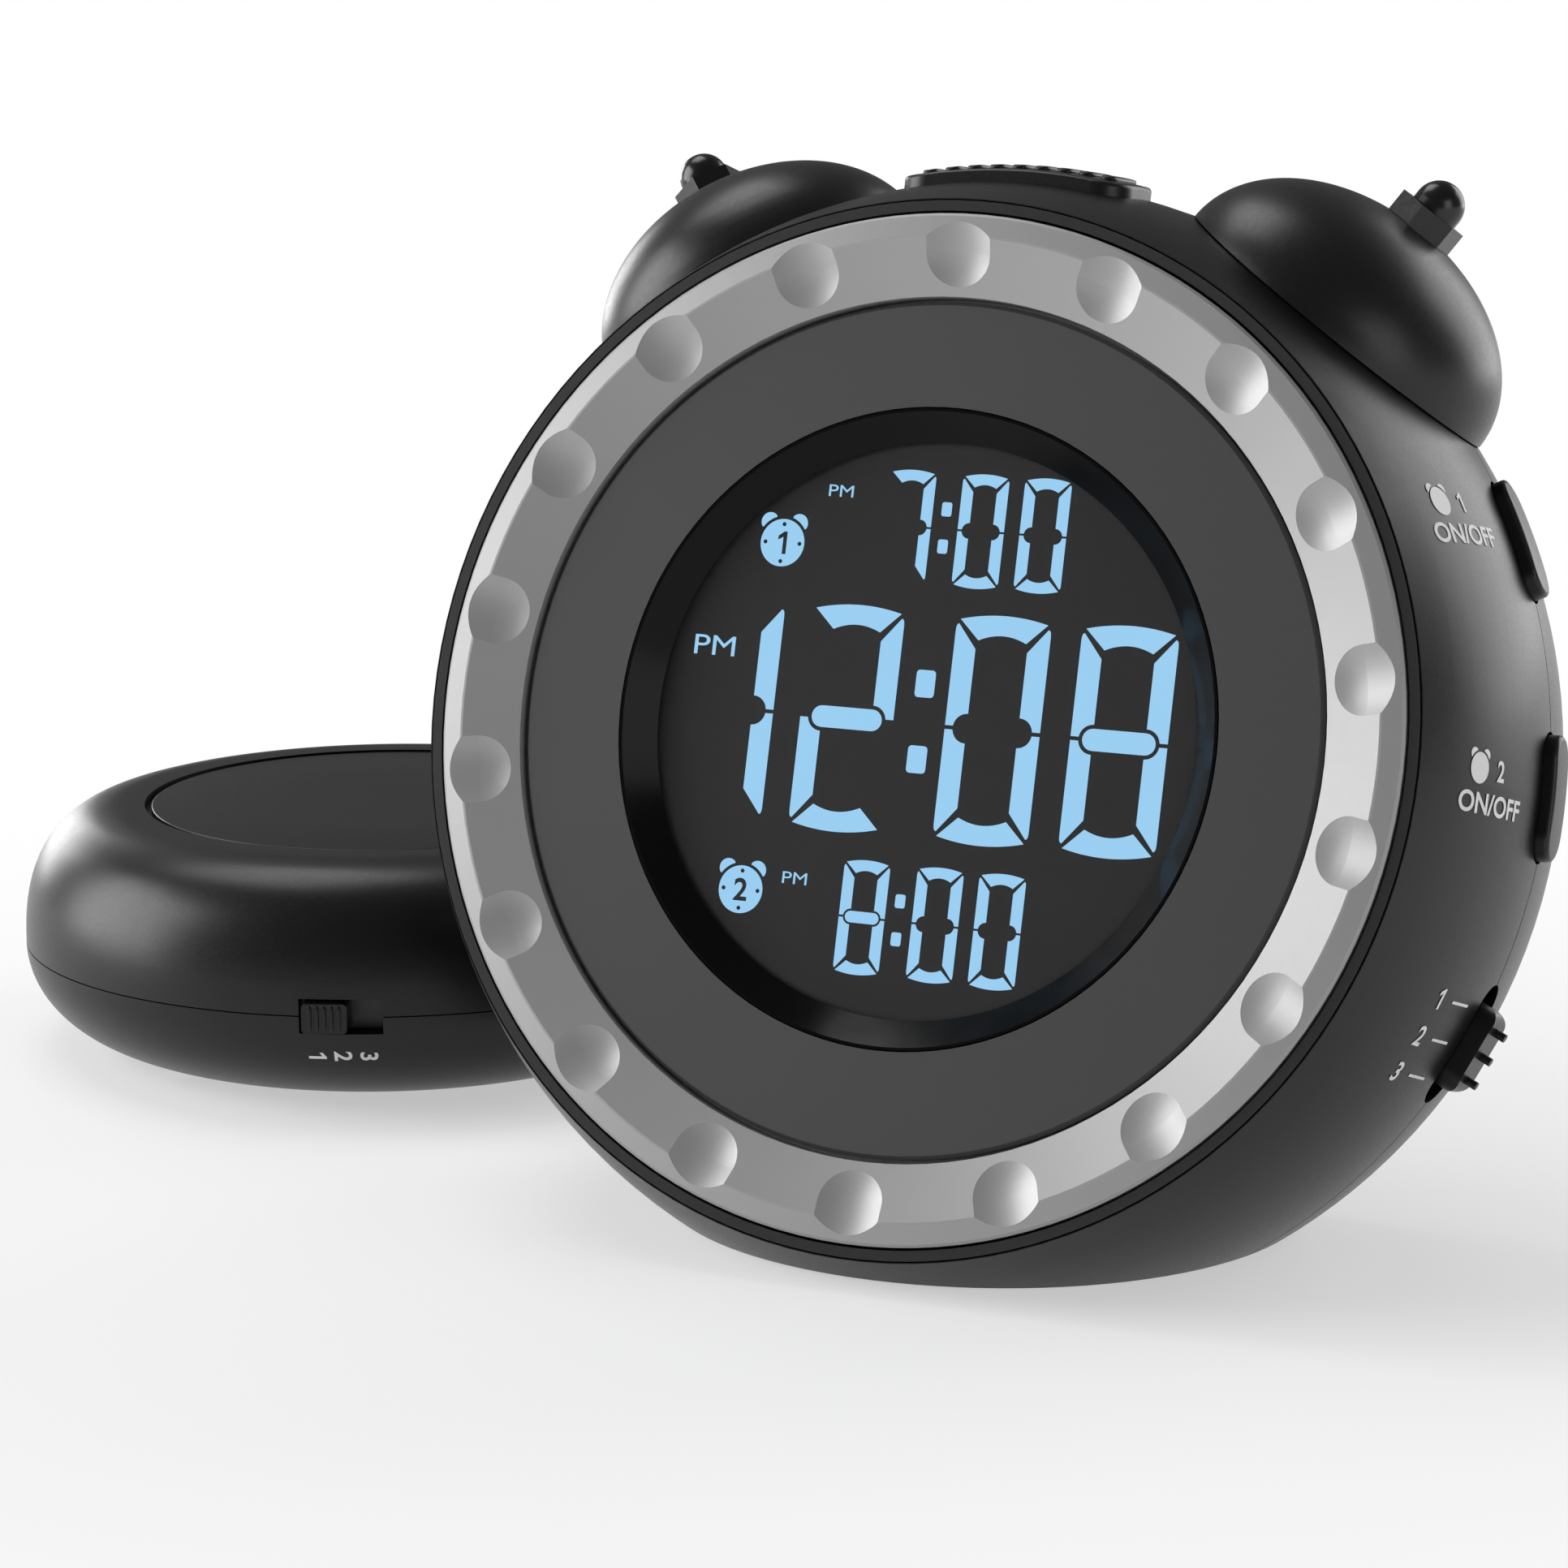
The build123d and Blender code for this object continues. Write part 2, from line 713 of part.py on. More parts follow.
def make_cover():
    """Rear cover: rounded back, grille, sockets, cell well, screw columns and flat foot."""
    shell = barrel(0, cover_front_depth, back_depth)
    shell = fillet(shell.edges().filter_by(GeomType.CIRCLE).sort_by(Axis.Z)[0], back_round)
    inner = barrel(-case_wall, cover_front_depth - overrun, back_inner_depth)
    inner = fillet(inner.edges().filter_by(GeomType.CIRCLE).sort_by(Axis.Z)[0], back_round - case_wall)
    shell = (drum * shell & above(foot_gap)) - (drum * inner & above(foot_gap + floor_thickness))
    for place in bell_places():
        notch = rod(bell_post_radius + control_clearance, -2 * bell_post_inset, bell_post_height())
        shell = shell - drum * (place * notch)
    for place in screw_places():
        shell = shell + drum * around(place, rod(column_radius, -back_depth + overrun, -cover_front_depth))
    for place in rear_post_places():
        shell = shell + drum * around(place, rod(rear_post_radius, -back_depth + overrun, -rear_board_face))
    well_size = door_size - 2 * door_clearance
    well_depth = back_depth - door_thickness - door_clearance - cell_thickness - cell_contact_thickness
    well_depth = well_depth - cell_clearance
    well = around(door_place, block(well_size, well_size, -back_depth + overrun, -well_depth + cell_floor))
    shell = shell + drum * well

    cuts = []
    for place in screw_places():
        shoulder = cover_front_depth + screw_shoulder
        cuts.append(around(place, rod(screw_radius + screw_hole_clearance, -back_depth - overrun,
                                      -cover_front_depth + overrun)))
        cuts.append(around(place, rod(screw_head_radius + screw_hole_clearance, -back_depth - overrun,
                                      -shoulder)))
    cuts.append(around(inlet_place, rod(inlet_bore_radius, -back_depth - overrun,
                                        -back_inner_depth + overrun)))
    cuts.append(around(jack_place, rod(jack_nose_radius + control_clearance / 2, -back_depth - overrun,
                                       -back_inner_depth + overrun)))
    for place in rear_button_places:
        cuts.append(around(place, rod(rear_button_radius + control_clearance, -back_depth - overrun,
                                      -back_inner_depth + overrun)))
    cuts.append(around(volume_place, rod(volume_knob_radius + control_clearance, -back_depth - overrun,
                                         -back_inner_depth + overrun)))
    recess_size = door_size + 2 * door_clearance
    cuts.append(around(door_place, block(recess_size, recess_size, -back_depth - overrun,
                                         -back_depth + door_thickness + door_clearance)))
    cuts.append(around(door_place, rod(cell_radius + cell_clearance, -back_depth - overrun, -well_depth)))
    cuts.append(around(door_place, Pos(0, door_pin_rise(), -back_depth + door_thickness / 2)
                       * Rot(0, 90, 0) * rod(door_pin_radius + door_pin_clearance,
                                             -door_size / 2 - door_pin_length - door_clearance,
                                             door_size / 2 + door_pin_length + door_clearance)))
    cuts.extend(grille_cuts())
    for cut in cuts:
        shell = shell - drum * cut
    for cut in control_cuts():
        shell = shell - drum * cut
    shell = shell - pad_seat(1, rear_pad_length)
    save("rear_cover", shell)


def grille_cuts():
    """Parallel slots of the speaker grille, cut to a round field."""
    cuts = []
    side_count = int(math.sqrt(grille_radius**2 - grille_slot_width**2) // grille_slot_pitch)
    for index in range(-side_count, side_count + 1):
        lift = index * grille_slot_pitch
        length = 2 * math.sqrt(grille_radius**2 - lift**2)
        slot = extrude(SlotOverall(length, grille_slot_width), amount=case_wall + 2 * overrun)
        cuts.append(Pos(0, speaker_height + lift, -back_depth - overrun) * slot)
    return cuts


def make_pads():
    """Two rubber pads under the foot."""
    pads = []
    for side, length in ((-1, front_pad_length), (1, rear_pad_length)):
        pads.append(Pos(0, pad_middle(side, length), 0) * block(pad_width, length, 0, pad_thickness))
    save("foot_pads", Compound(children=pads))


def make_case_screws():
    """Four self tapping screws that hold the rear cover."""
    shoulder = cover_front_depth + screw_shoulder
    tip = seam_depth - screw_bite + overrun
    screws = []
    for place in screw_places():
        shank = rod(screw_radius, -shoulder, -tip)
        head = rod(screw_head_radius, -shoulder - screw_head_height, -shoulder)
        screws.append(around(place, shank + head))
    save("case_screws", drum * Compound(children=screws))


def bell_post_height():
    """Height of the post under a bell, clear of the curved inside of the dome."""
    inner_radius = bell_radius - bell_wall
    inner_height = bell_height - bell_wall
    return inner_height * math.sqrt(1 - (bell_post_radius / inner_radius) ** 2) - bell_post_gap


def dome(radius, height, skirt):
    """Half ellipsoid with a short straight skirt, turned about Z."""
    cap = EllipticalCenterArc((0, 0), radius, height, start_angle=0, arc_size=90)
    rest = Polyline((0, height), (0, -skirt), (radius, -skirt), (radius, 0))
    return revolve(Plane.XZ * make_face(cap + rest), Axis.Z)


def make_bells():
    """Two domed bells on posts, each held by a stud and a cap nut."""
    shell = dome(bell_radius, bell_height, bell_skirt) - dome(
        bell_radius - bell_wall, bell_height - bell_wall, bell_skirt + overrun
    )
    crown = bell_height - bell_crown_flat
    shell = shell - rod(bell_radius, crown, crown + overrun)
    shell = shell - rod(stud_radius + stud_clearance, 0, bell_height + overrun)
    clear = barrel(bell_case_gap, 0, 2 * bell_depth)
    nut_base = crown + nut_rest_gap
    nut_top = nut_base + nut_hex_height
    dome_centre = nut_top + nut_neck
    hexagon = extrude(RegularPolygon(nut_flats / math.sqrt(3), 6), amount=nut_hex_height)
    hexagon = Rot(0, 0, nut_turn) * hexagon
    nut = Pos(0, 0, nut_base) * hexagon + rod(nut_dome_radius, nut_base, dome_centre)
    nut = nut + Pos(0, 0, dome_centre) * Sphere(nut_dome_radius)
    bore_top = nut_base + nut_bore_depth
    nut = nut - rod(stud_radius + stud_clearance / 2, 0, bore_top)
    stud = rod(stud_radius, -bell_post_inset, bore_top - stud_clearance)
    stud = stud + rod(stud_head_radius, -bell_post_inset - stud_head_height, -bell_post_inset)
    names = ("bell_left", "bell_right")
    nuts = []
    studs = []
    for name, place in zip(names, bell_places()):
        save(name, drum * (place * shell - clear))
        nuts.append(place * nut)
        studs.append(place * stud)
    save("bell_nuts", drum * Compound(children=nuts))
    save("bell_studs", drum * Compound(children=studs))


def make_switch_boards():
    """Small boards with press switches behind the snooze pad and the alarm buttons."""
    boards = []
    switches = []
    for angle, depth, half_width in switch_places():
        place = side_place(angle, board_radius, depth)
        front = depth - post_front(depth, half_width)
        board = block(board_width, board_tail + front, -board_thickness, 0)
        boards.append(place * Pos(0, (board_tail - front) / 2, 0) * board)
        if angle == mode_angle:
            body = block(mode_body_length, mode_body_width, 0, mode_body_height)
            save("mode_switch_body", drum * (place * body))
        else:
            body = block(press_switch_size, press_switch_size, 0, press_switch_height)
            plunger = rod(plunger_radius, press_switch_height, press_switch_height + plunger_height)
            switches.append(place * (body + plunger))
    save("switch_boards", drum * Compound(children=boards))
    save("press_switches", drum * Compound(children=switches))


def push_button(angle, depth, top, lip, rise, travel):
    """Button through the case side: curved top, inner flange and a stem over its switch."""
    base = barrel_radius(depth)
    place = side_place(angle, base, depth)
    under = case_wall + control_clearance
    low = -(under + flange_thickness + overrun)
    cap = Pos(0, 0, low) * extrude(top, amount=rise - low + overrun)
    cap = place * cap & barrel(rise, 0, back_depth)
    crown = cap.faces().sort_by_distance((place * Pos(0, 0, rise)).position)[0]
    cap = fillet(crown.edges(), button_edge_radius)
    flange = Pos(0, 0, low) * extrude(lip, amount=-low)
    flange = place * flange & barrel(-under, 0, back_depth)
    stem_end = board_radius + press_switch_height + plunger_height + travel + control_clearance - base
    stem = place * rod(stem_radius, stem_end, low + overrun / 2)
    return cap + flange + stem


def make_buttons():
    """Snooze pad on top and the two alarm buttons on the side."""
    top = RectangleRounded(snooze_length, snooze_width, snooze_corner)
    lip = RectangleRounded(
        snooze_length + 2 * flange_lip, snooze_width + 2 * flange_lip, snooze_corner + flange_lip
    )
    save("snooze_pad", drum * push_button(0, snooze_depth, top, lip, snooze_rise, snooze_travel))
    top = SlotOverall(alarm_length, alarm_width)
    lip = SlotOverall(alarm_length + 2 * flange_lip, alarm_width + 2 * flange_lip)
    for index, angle in enumerate(alarm_angles):
        button = push_button(angle, seam_depth, top, lip, alarm_rise, alarm_travel)
        save("alarm_%d_button" % (index + 1), drum * button)


def make_mode_knob():
    """Three position slide knob with small grip pins."""
    base = barrel_radius(seam_depth)
    place = side_place(mode_angle, base, seam_depth)
    low = board_radius + mode_body_height + control_clearance - base
    side = RectangleRounded(mode_knob_length, 2 * (mode_rise - low), mode_knob_corner)
    knob = extrude(Plane.XZ * side, amount=mode_knob_width / 2, both=True)
    knob = Pos(0, 0, low) * knob & block(reach, reach, low, low + reach)
    plan = RectangleRounded(mode_knob_length, mode_knob_width, mode_knob_end_radius)
    knob = place * (knob & Pos(0, 0, low) * extrude(plan, amount=reach))
    first = -(mode_pin_count - 1) / 2
    for index in range(mode_pin_count):
        shift = (first + index) * mode_pin_pitch
        pin = Pos(shift, 0, 0) * rod(mode_pin_radius, mode_rise / 2, mode_rise + mode_pin_height)
        knob = knob + place * pin
    save("mode_switch_knob", drum * knob)


def make_main_board():
    """Round main board with its chips and capacitors."""
    back = main_board_depth + main_board_thickness
    save("main_board", drum * disc(main_board_radius, main_board_depth, back))
    chips = []
    for across_share, up_share in chip_places_share:
        place = (across_share * main_board_radius, up_share * main_board_radius)
        chips.append(around(place, block(chip_size, chip_size, -back - chip_height, -back)))
    save("board_chips", drum * Compound(children=chips))
    cans = []
    for across_share, up_share in can_places_share:
        place = (across_share * main_board_radius, up_share * main_board_radius)
        cans.append(around(place, rod(can_radius, -back - can_height, -back)))
    save("board_capacitors", drum * Compound(children=cans))


def rear_post_places():
    """Places of the posts that carry the rear board."""
    inset = rear_post_radius
    return [
        (rear_board_left + inset, rear_board_top - inset),
        (rear_board_right - inset, rear_board_top - inset),
        (rear_board_left + inset, rear_board_bottom + inset),
        (rear_board_right - inset, rear_board_bottom + rear_post_lift),
    ]


def make_rear_board():
    """Rear board with power inlet, shaker socket, volume control and two press switches."""
    width = rear_board_right - rear_board_left
    height = rear_board_top - rear_board_bottom
    middle = ((rear_board_left + rear_board_right) / 2, (rear_board_bottom + rear_board_top) / 2)
    board = around(middle, block(width, height, -rear_board_face, -rear_board_depth))
    for place in screw_places():
        notch = rod(column_radius + board_notch_clearance, -rear_board_face - overrun,
                    -rear_board_depth + overrun)
        board = board - around(place, notch)
    save("rear_board", drum * board)

    outer = block(socket_width, socket_width, -back_inner_depth, -rear_board_face)
    inlet = outer - rod(inlet_bore_radius, -back_inner_depth - overrun, -rear_board_face - socket_floor)
    inlet = inlet + rod(inlet_pin_radius, -back_inner_depth + inlet_pin_inset, -rear_board_face)
    save("power_inlet", drum * around(inlet_place, inlet))

    nose = rod(jack_nose_radius, -back_depth, -rear_board_face)
    jack = outer + nose - rod(jack_bore_radius, -back_depth - overrun, -back_depth + jack_depth)
    save("shaker_socket", drum * around(jack_place, jack))

    pot = block(volume_pot_size, volume_pot_size, -rear_board_face - volume_pot_height, -rear_board_face)
    shaft_end = back_inner_depth - overrun
    pot = pot + rod(volume_shaft_radius, -shaft_end, -rear_board_face)
    save("volume_control", drum * around(volume_place, pot))
    knob_front = rear_board_face + volume_pot_height + control_clearance
    knob = rod(volume_knob_radius, -back_depth - volume_knob_rise, -knob_front)
    knob = knob - rod(volume_shaft_radius + screw_hole_clearance / 2, -shaft_end - control_clearance,
                      -knob_front + overrun)
    save("volume_knob", drum * around(volume_place, knob))

    switches = []
    switch_end = rear_board_face + press_switch_height
    body = block(press_switch_size, press_switch_size, -switch_end, -rear_board_face)
    plunger_end = rear_board_face + press_switch_height + plunger_height
    plunger = rod(plunger_radius, -plunger_end, -rear_board_face)
    stem_end = plunger_end + rear_button_travel + control_clearance
    lip_back = back_inner_depth - control_clearance
    cap = rod(rear_button_radius, -back_depth - rear_button_rise, -lip_back + flange_thickness)
    lip = rod(rear_button_radius + flange_lip, -lip_back, -lip_back + flange_thickness)
    stem = rod(stem_radius, -lip_back, -stem_end)
    names = ("time_set_button", "dimmer_button")
    for name, place in zip(names, rear_button_places):
        switches.append(around(place, body + plunger))
        save(name, drum * around(place, cap + lip + stem))
    save("rear_press_switches", drum * Compound(children=switches))


def make_speaker():
    """Speaker behind the grille: basket, paper cone and magnet."""
    front = back_inner_depth
    basket = turned(
        (speaker_radius - speaker_flange - speaker_basket_wall, front),
        (speaker_radius, front),
        (speaker_radius, front - speaker_flange),
        (speaker_radius - speaker_taper, front - speaker_basket_depth),
        (cone_neck_radius, front - speaker_basket_depth),
        (cone_neck_radius, front - speaker_basket_depth + speaker_basket_wall),
        (speaker_radius - speaker_taper - speaker_basket_wall,
         front - speaker_basket_depth + speaker_basket_wall),
        (speaker_radius - speaker_flange - speaker_basket_wall, front - speaker_flange),
    )
    save("speaker_basket", drum * Pos(0, speaker_height, 0) * basket)
    edge = speaker_radius - speaker_flange - 2 * speaker_basket_wall
    cone = turned(
        (edge, front - cone_thickness),
        (edge, front - 2 * cone_thickness),
        (cone_neck_radius, front - cone_sink - cone_thickness),
        (0, front - cone_sink),
        (0, front - cone_sink + cone_thickness),
        (cone_neck_radius, front - cone_sink),
    )
    save("speaker_cone", drum * Pos(0, speaker_height, 0) * cone)
    back = front - speaker_basket_depth
    magnet = disc(speaker_magnet_radius, back - speaker_magnet_depth, back)
    save("speaker_magnet", drum * Pos(0, speaker_height, 0) * magnet)


def door_pin_rise():
    """Height of the door's hinge line from the middle of the door."""
    return -door_size / 2 + door_thickness / 2


def make_cell_bay():
    """Hinged door, coin cell and its two contacts."""
    hinge_depth = back_depth - door_thickness / 2
    plate = block(door_size, door_size - door_thickness / 2, -back_depth, -back_depth + door_thickness)
    plate = Pos(0, door_thickness / 4, 0) * plate
    knuckle = Pos(0, door_pin_rise(), -hinge_depth) * Rot(0, 90, 0)
    round_edge = knuckle * rod(door_thickness / 2, -door_size / 2, door_size / 2)
    pin = knuckle * rod(door_pin_radius, -door_size / 2 - door_pin_length, door_size / 2 + door_pin_length)
    save("cell_door", drum * around(door_place, plate + round_edge + pin))

    cell_back = back_depth - door_thickness - door_clearance - cell_clearance
    cell = rod(cell_radius, -cell_back, -cell_back + cell_thickness)
    save("coin_cell", drum * around(door_place, cell))
    contact_back = cell_back - cell_thickness
    strip = block(cell_contact_width, 2 * (cell_radius - cell_clearance), -contact_back,
                  -contact_back + cell_contact_thickness)
    save("cell_contact", drum * around(door_place, strip & rod(cell_radius, -contact_back,
                                                              -contact_back + cell_contact_thickness)))


def shaker_profile(grow):
    """Full outline solid of the shaker, grown or shrunk by one value."""
    radius = shaker_radius + grow
    top = shaker_top_height + grow
    bottom = shaker_bottom_gap - grow
    points = []
    for index in range(shaker_curve_points + 1):
        turn = math.radians(90 * index / shaker_curve_points)
        out = math.cos(turn) ** (2 / shaker_fullness)
        rise = math.sin(turn) ** (2 / shaker_fullness)
        points.append(
            (
                shaker_top_radius + (radius - shaker_top_radius) * out,
                shaker_waist_height + (top - shaker_waist_height) * rise,
            )
        )
    points[-1] = (shaker_top_radius, top)
    upper = Spline(*points, tangents=((0, 1), (-1, 0)))
    lower = EllipticalCenterArc(
        (shaker_bottom_radius, shaker_waist_height),
        radius - shaker_bottom_radius,
        shaker_waist_height - bottom,
        start_angle=270,
        arc_size=90,
    )
    rest = Polyline((shaker_top_radius, top), (0, top), (0, bottom), (shaker_bottom_radius, bottom))
    return revolve(Plane.XZ * make_face(upper + lower + rest), Axis.Z)


def shaker_column_places():
    """Places of the four screw columns in the shaker."""
    places = []
    for index in range(4):
        turn = math.radians(45 + 90 * index)
        places.append((column_circle_radius * math.cos(turn), column_circle_radius * math.sin(turn)))
    return places


def level_frame():
    """Frame at the front of the shaker: X along the wall, Y up, Z outwards."""
    origin = (0, -shaker_radius, shaker_waist_height)
    return Plane(origin=origin, x_dir=(1, 0, 0), z_dir=(0, -1, 0)).location


def gland_frame():
    """Frame at the rear of the shaker with Z outwards."""
    origin = (0, shaker_radius, shaker_waist_height)
    return Plane(origin=origin, x_dir=(-1, 0, 0), z_dir=(0, 1, 0)).location


def shaker_cuts():
    """Openings in the shaker wall for the level knob and the cord gland."""
    deep = 2 * shaker_wall
    slot = level_frame() * block(level_slot_length, level_slot_height, -deep, deep)
    hole = gland_frame() * rod(gland_radius + control_clearance / 2, -deep, deep)
    return [slot, hole]


def make_shaker_shells():
    """Upper and lower shell of the shaker, with columns, label seat and pad seat."""
    shell = shaker_profile(0) - shaker_profile(-shaker_wall)
    half = shaker_seam / 2
    upper = shell & block(reach, reach, shaker_waist_height + half, shaker_top_height + overrun)
    lower = shell & block(reach, reach, shaker_bottom_gap - overrun, shaker_waist_height - half)
    inside = shaker_profile(-shaker_wall / 2)
    for place in shaker_column_places():
        column = rod(shaker_column_radius, shaker_waist_height + half, shaker_top_height)
        upper = upper + (around(place, column) & inside)
        column = rod(shaker_column_radius, shaker_bottom_gap, shaker_waist_height - half)
        lower = lower + (around(place, column) & inside)
    seat_depth = label_sink + label_thickness
    upper = upper - rod(label_radius + label_clearance, shaker_top_height - seat_depth,
                        shaker_top_height + overrun)
    pad_seat_top = shaker_pad_thickness
    seat = rod(shaker_pad_outer + pad_clearance, 0, pad_seat_top)
    seat = seat - rod(shaker_pad_inner - pad_clearance, 0, pad_seat_top)
    lower = lower - seat
    shoulder = shaker_screw_shoulder
    for place in shaker_column_places():
        bore = rod(shaker_screw_radius + screw_hole_clearance, 0, shaker_waist_height)
        sink = rod(shaker_screw_head_radius + screw_hole_clearance, 0, shoulder)
        lower = lower - around(place, bore + sink)
        top = shaker_waist_height + shaker_screw_bite
        pilot = rod(shaker_screw_radius + screw_hole_clearance / 2, shaker_waist_height, top)
        upper = upper - around(place, pilot)
    for cut in shaker_cuts():
        upper = upper - cut
        lower = lower - cut
    save("shaker_upper_shell", shaker_frame * upper)
    save("shaker_lower_shell", shaker_frame * lower)


def make_shaker_trim():
    """Label disc, rubber pad ring, screws and the cord gland of the shaker."""
    top = shaker_top_height - label_sink
    save("shaker_label_disc", shaker_frame * rod(label_radius, top - label_thickness, top))
    pad = rod(shaker_pad_outer, 0, shaker_pad_thickness) - rod(shaker_pad_inner, 0, shaker_pad_thickness)
    save("shaker_pad_ring", shaker_frame * pad)
    screws = []
    tip = shaker_waist_height + shaker_screw_bite - overrun
    for place in shaker_column_places():
        head = rod(shaker_screw_head_radius, shaker_screw_shoulder - shaker_screw_head_height,
                   shaker_screw_shoulder)
        screws.append(around(place, head + rod(shaker_screw_radius, shaker_screw_shoulder, tip)))
    save("shaker_screws", shaker_frame * Compound(children=screws))
    gland = rod(gland_radius, -shaker_wall - gland_inside, gland_flange_thickness)
    gland = gland + rod(gland_radius + gland_flange, control_clearance, gland_flange_thickness)
    gland = gland - rod(gland_bore_radius, -shaker_wall - gland_inside - overrun,
                        gland_flange_thickness + overrun)
    save("shaker_cord_gland", shaker_frame * (gland_frame() * gland))


def make_level_switch():
    """Strength switch of the shaker: knob in the slot, its body and the small board."""
    frame = level_frame()
    left = -level_slot_length / 2 + level_edge_gap + level_knob_length / 2
    back = shaker_wall + level_body_gap
    plan = RectangleRounded(level_knob_length, level_knob_height, level_knob_corner)
    knob = Pos(left, 0, -back) * extrude(plan, amount=back + level_knob_rise)
    save("shaker_level_knob", shaker_frame * (frame * knob))
    body_back = back + level_body_gap + level_body_depth
    body = block(level_body_length, level_body_height, -body_back, -back - level_body_gap)
    save("shaker_level_body", shaker_frame * (frame * body))
    board = block(level_board_length, level_board_height, -body_back - level_board_thickness, -body_back)
    save("shaker_board", shaker_frame * (frame * board))


def make_shaker_motor():
    """Motor on two cradles with an off centre weight on its shaft."""
    lie = Pos(0, 0, motor_height) * Rot(0, 90, 0)
    motor_right = motor_left + motor_length
    can = lie * rod(motor_radius, motor_left, motor_right)
    save("shaker_motor", shaker_frame * (can - lie * rod(motor_shaft_radius + motor_shaft_clearance,
                                                         motor_right - motor_length / 2,
                                                         motor_right + overrun)))
    weight_start = motor_right + weight_gap
    weight = rod(weight_radius, weight_start, weight_start + weight_length)
    half = Pos(weight_radius, 0, 0) * block(2 * weight_radius, 2 * weight_radius,
                                            weight_start, weight_start + weight_length)
    weight = (weight & half) + rod(weight_hub_radius, weight_start, weight_start + weight_length)
    shaft = rod(motor_shaft_radius, motor_right - motor_length / 2 + overrun,
                motor_right + motor_shaft_reach)
    save("shaker_weight", shaker_frame * (lie * (weight + shaft)))
    floor = shaker_bottom_gap + shaker_wall
    cradles = []
    for centre in (motor_left + cradle_inset, motor_right - cradle_inset):
        width = 2 * (motor_radius + cradle_wall)
        wall = Pos(centre, 0, 0) * block(cradle_length, width, floor, motor_height)
        cradles.append(wall - lie * rod(motor_radius + cradle_clearance, motor_left - overrun - cradle_length,
                                        motor_right + overrun + cradle_length))
    save("motor_cradles", shaker_frame * Compound(children=cradles))


make_ring()
make_rim()
make_face_plate()
make_display()
make_case()
make_cover()
make_pads()
make_case_screws()
make_bells()
make_switch_boards()
make_buttons()
make_mode_knob()
make_main_board()
make_rear_board()
make_speaker()
make_cell_bay()
make_shaker_shells()
make_shaker_trim()
make_level_switch()
make_shaker_motor()
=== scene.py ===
"""Looks of a round alarm clock with twin bells and a disc shaped bed shaker.

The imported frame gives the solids. This add-on gives them their moulded, painted and plated
finishes, and adds the fine detail: the lit digits, the printed marks, the grip bars and
ribs, and the disc in the shaker's top. It also sets the stage.
"""
import json
import math

import bpy
import numpy as np
from bpy.props import FloatProperty, FloatVectorProperty, IntProperty, PointerProperty
from bpy.props import StringProperty
from mathutils import Matrix, Vector


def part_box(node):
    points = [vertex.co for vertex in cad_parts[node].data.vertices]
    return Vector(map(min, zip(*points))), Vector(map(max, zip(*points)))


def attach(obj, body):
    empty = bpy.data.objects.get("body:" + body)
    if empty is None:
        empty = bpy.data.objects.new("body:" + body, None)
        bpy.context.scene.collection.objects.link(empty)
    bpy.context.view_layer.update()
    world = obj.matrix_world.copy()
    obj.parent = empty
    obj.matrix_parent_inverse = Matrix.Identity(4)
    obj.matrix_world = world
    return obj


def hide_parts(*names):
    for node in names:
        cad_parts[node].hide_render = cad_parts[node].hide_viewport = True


bl_info = {
    "name": "Bell clock and bed shaker finishes",
    "version": (1, 0, 0),
    "blender": (4, 5, 0),
    "location": "3D View > Sidebar > Bell Clock",
    "description": "Finishes, lit digits, prints and stage of a bell clock with a bed shaker",
    "category": "Object",
}

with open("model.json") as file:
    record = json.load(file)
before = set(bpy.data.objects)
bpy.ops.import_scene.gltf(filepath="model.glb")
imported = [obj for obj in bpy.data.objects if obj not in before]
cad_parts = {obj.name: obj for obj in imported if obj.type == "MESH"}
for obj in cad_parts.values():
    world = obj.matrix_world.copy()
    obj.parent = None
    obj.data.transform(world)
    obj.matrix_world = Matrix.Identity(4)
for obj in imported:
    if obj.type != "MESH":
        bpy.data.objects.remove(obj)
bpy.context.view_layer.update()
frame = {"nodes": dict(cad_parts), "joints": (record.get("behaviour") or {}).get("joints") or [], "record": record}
MM = 0.001


def joint(name):
    """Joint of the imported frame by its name."""
    return next(entry for entry in frame["joints"] if entry["name"] == name)


def half_width(node):
    """Half of a node's length along X, in millimetres."""
    low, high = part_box(node)
    return (high[0] - low[0]) / 2 / MM


def middle(node):
    """Middle of a node's box, in metres."""
    low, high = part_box(node)
    return (np.array(low) + np.array(high)) / 2


# The drum frame: across, up along the face, and depth back from the face.
DRUM_ORIGIN = np.array(joint("setting_ring_turn")["pos_m"])
DRUM_OUT = np.array(joint("setting_ring_turn")["axis"])
DRUM_ACROSS = np.array([1.0, 0.0, 0.0])
DRUM_UP = np.cross(DRUM_OUT, DRUM_ACROSS)
# The shaker's axis stands upright, and its knob slides along the first direction.
SHAKER_MIDDLE = middle("shaker_label_disc") * np.array([1, 1, 0])
SHAKER_ALONG = np.array(joint("shaker_level_slide")["axis"])
SHAKER_OUT = np.array([SHAKER_ALONG[1], -SHAKER_ALONG[0], 0.0])
UPRIGHT = np.array([0.0, 0.0, 1.0])

# Segments of each digit by their usual letters: a on top, g in the middle.
SEGMENTS = {
    "0": "abcdef",
    "1": "bc",
    "2": "abged",
    "7": "abc",
    "8": "abcdefg",
}
# Rows of digits in the display's plane: the bottom of the row, and each digit's left edge.
MAIN_ROW = (-11.45, (("1", -28.0), ("2", -14.1), ("0", 2.5), ("8", 16.6)))
ALARM_ROWS = (
    (15.3, (("7", -6.9), ("0", 1.4), ("0", 8.4))),
    (-26.2, (("8", -7.05), ("0", 1.3), ("0", 8.3))),
)
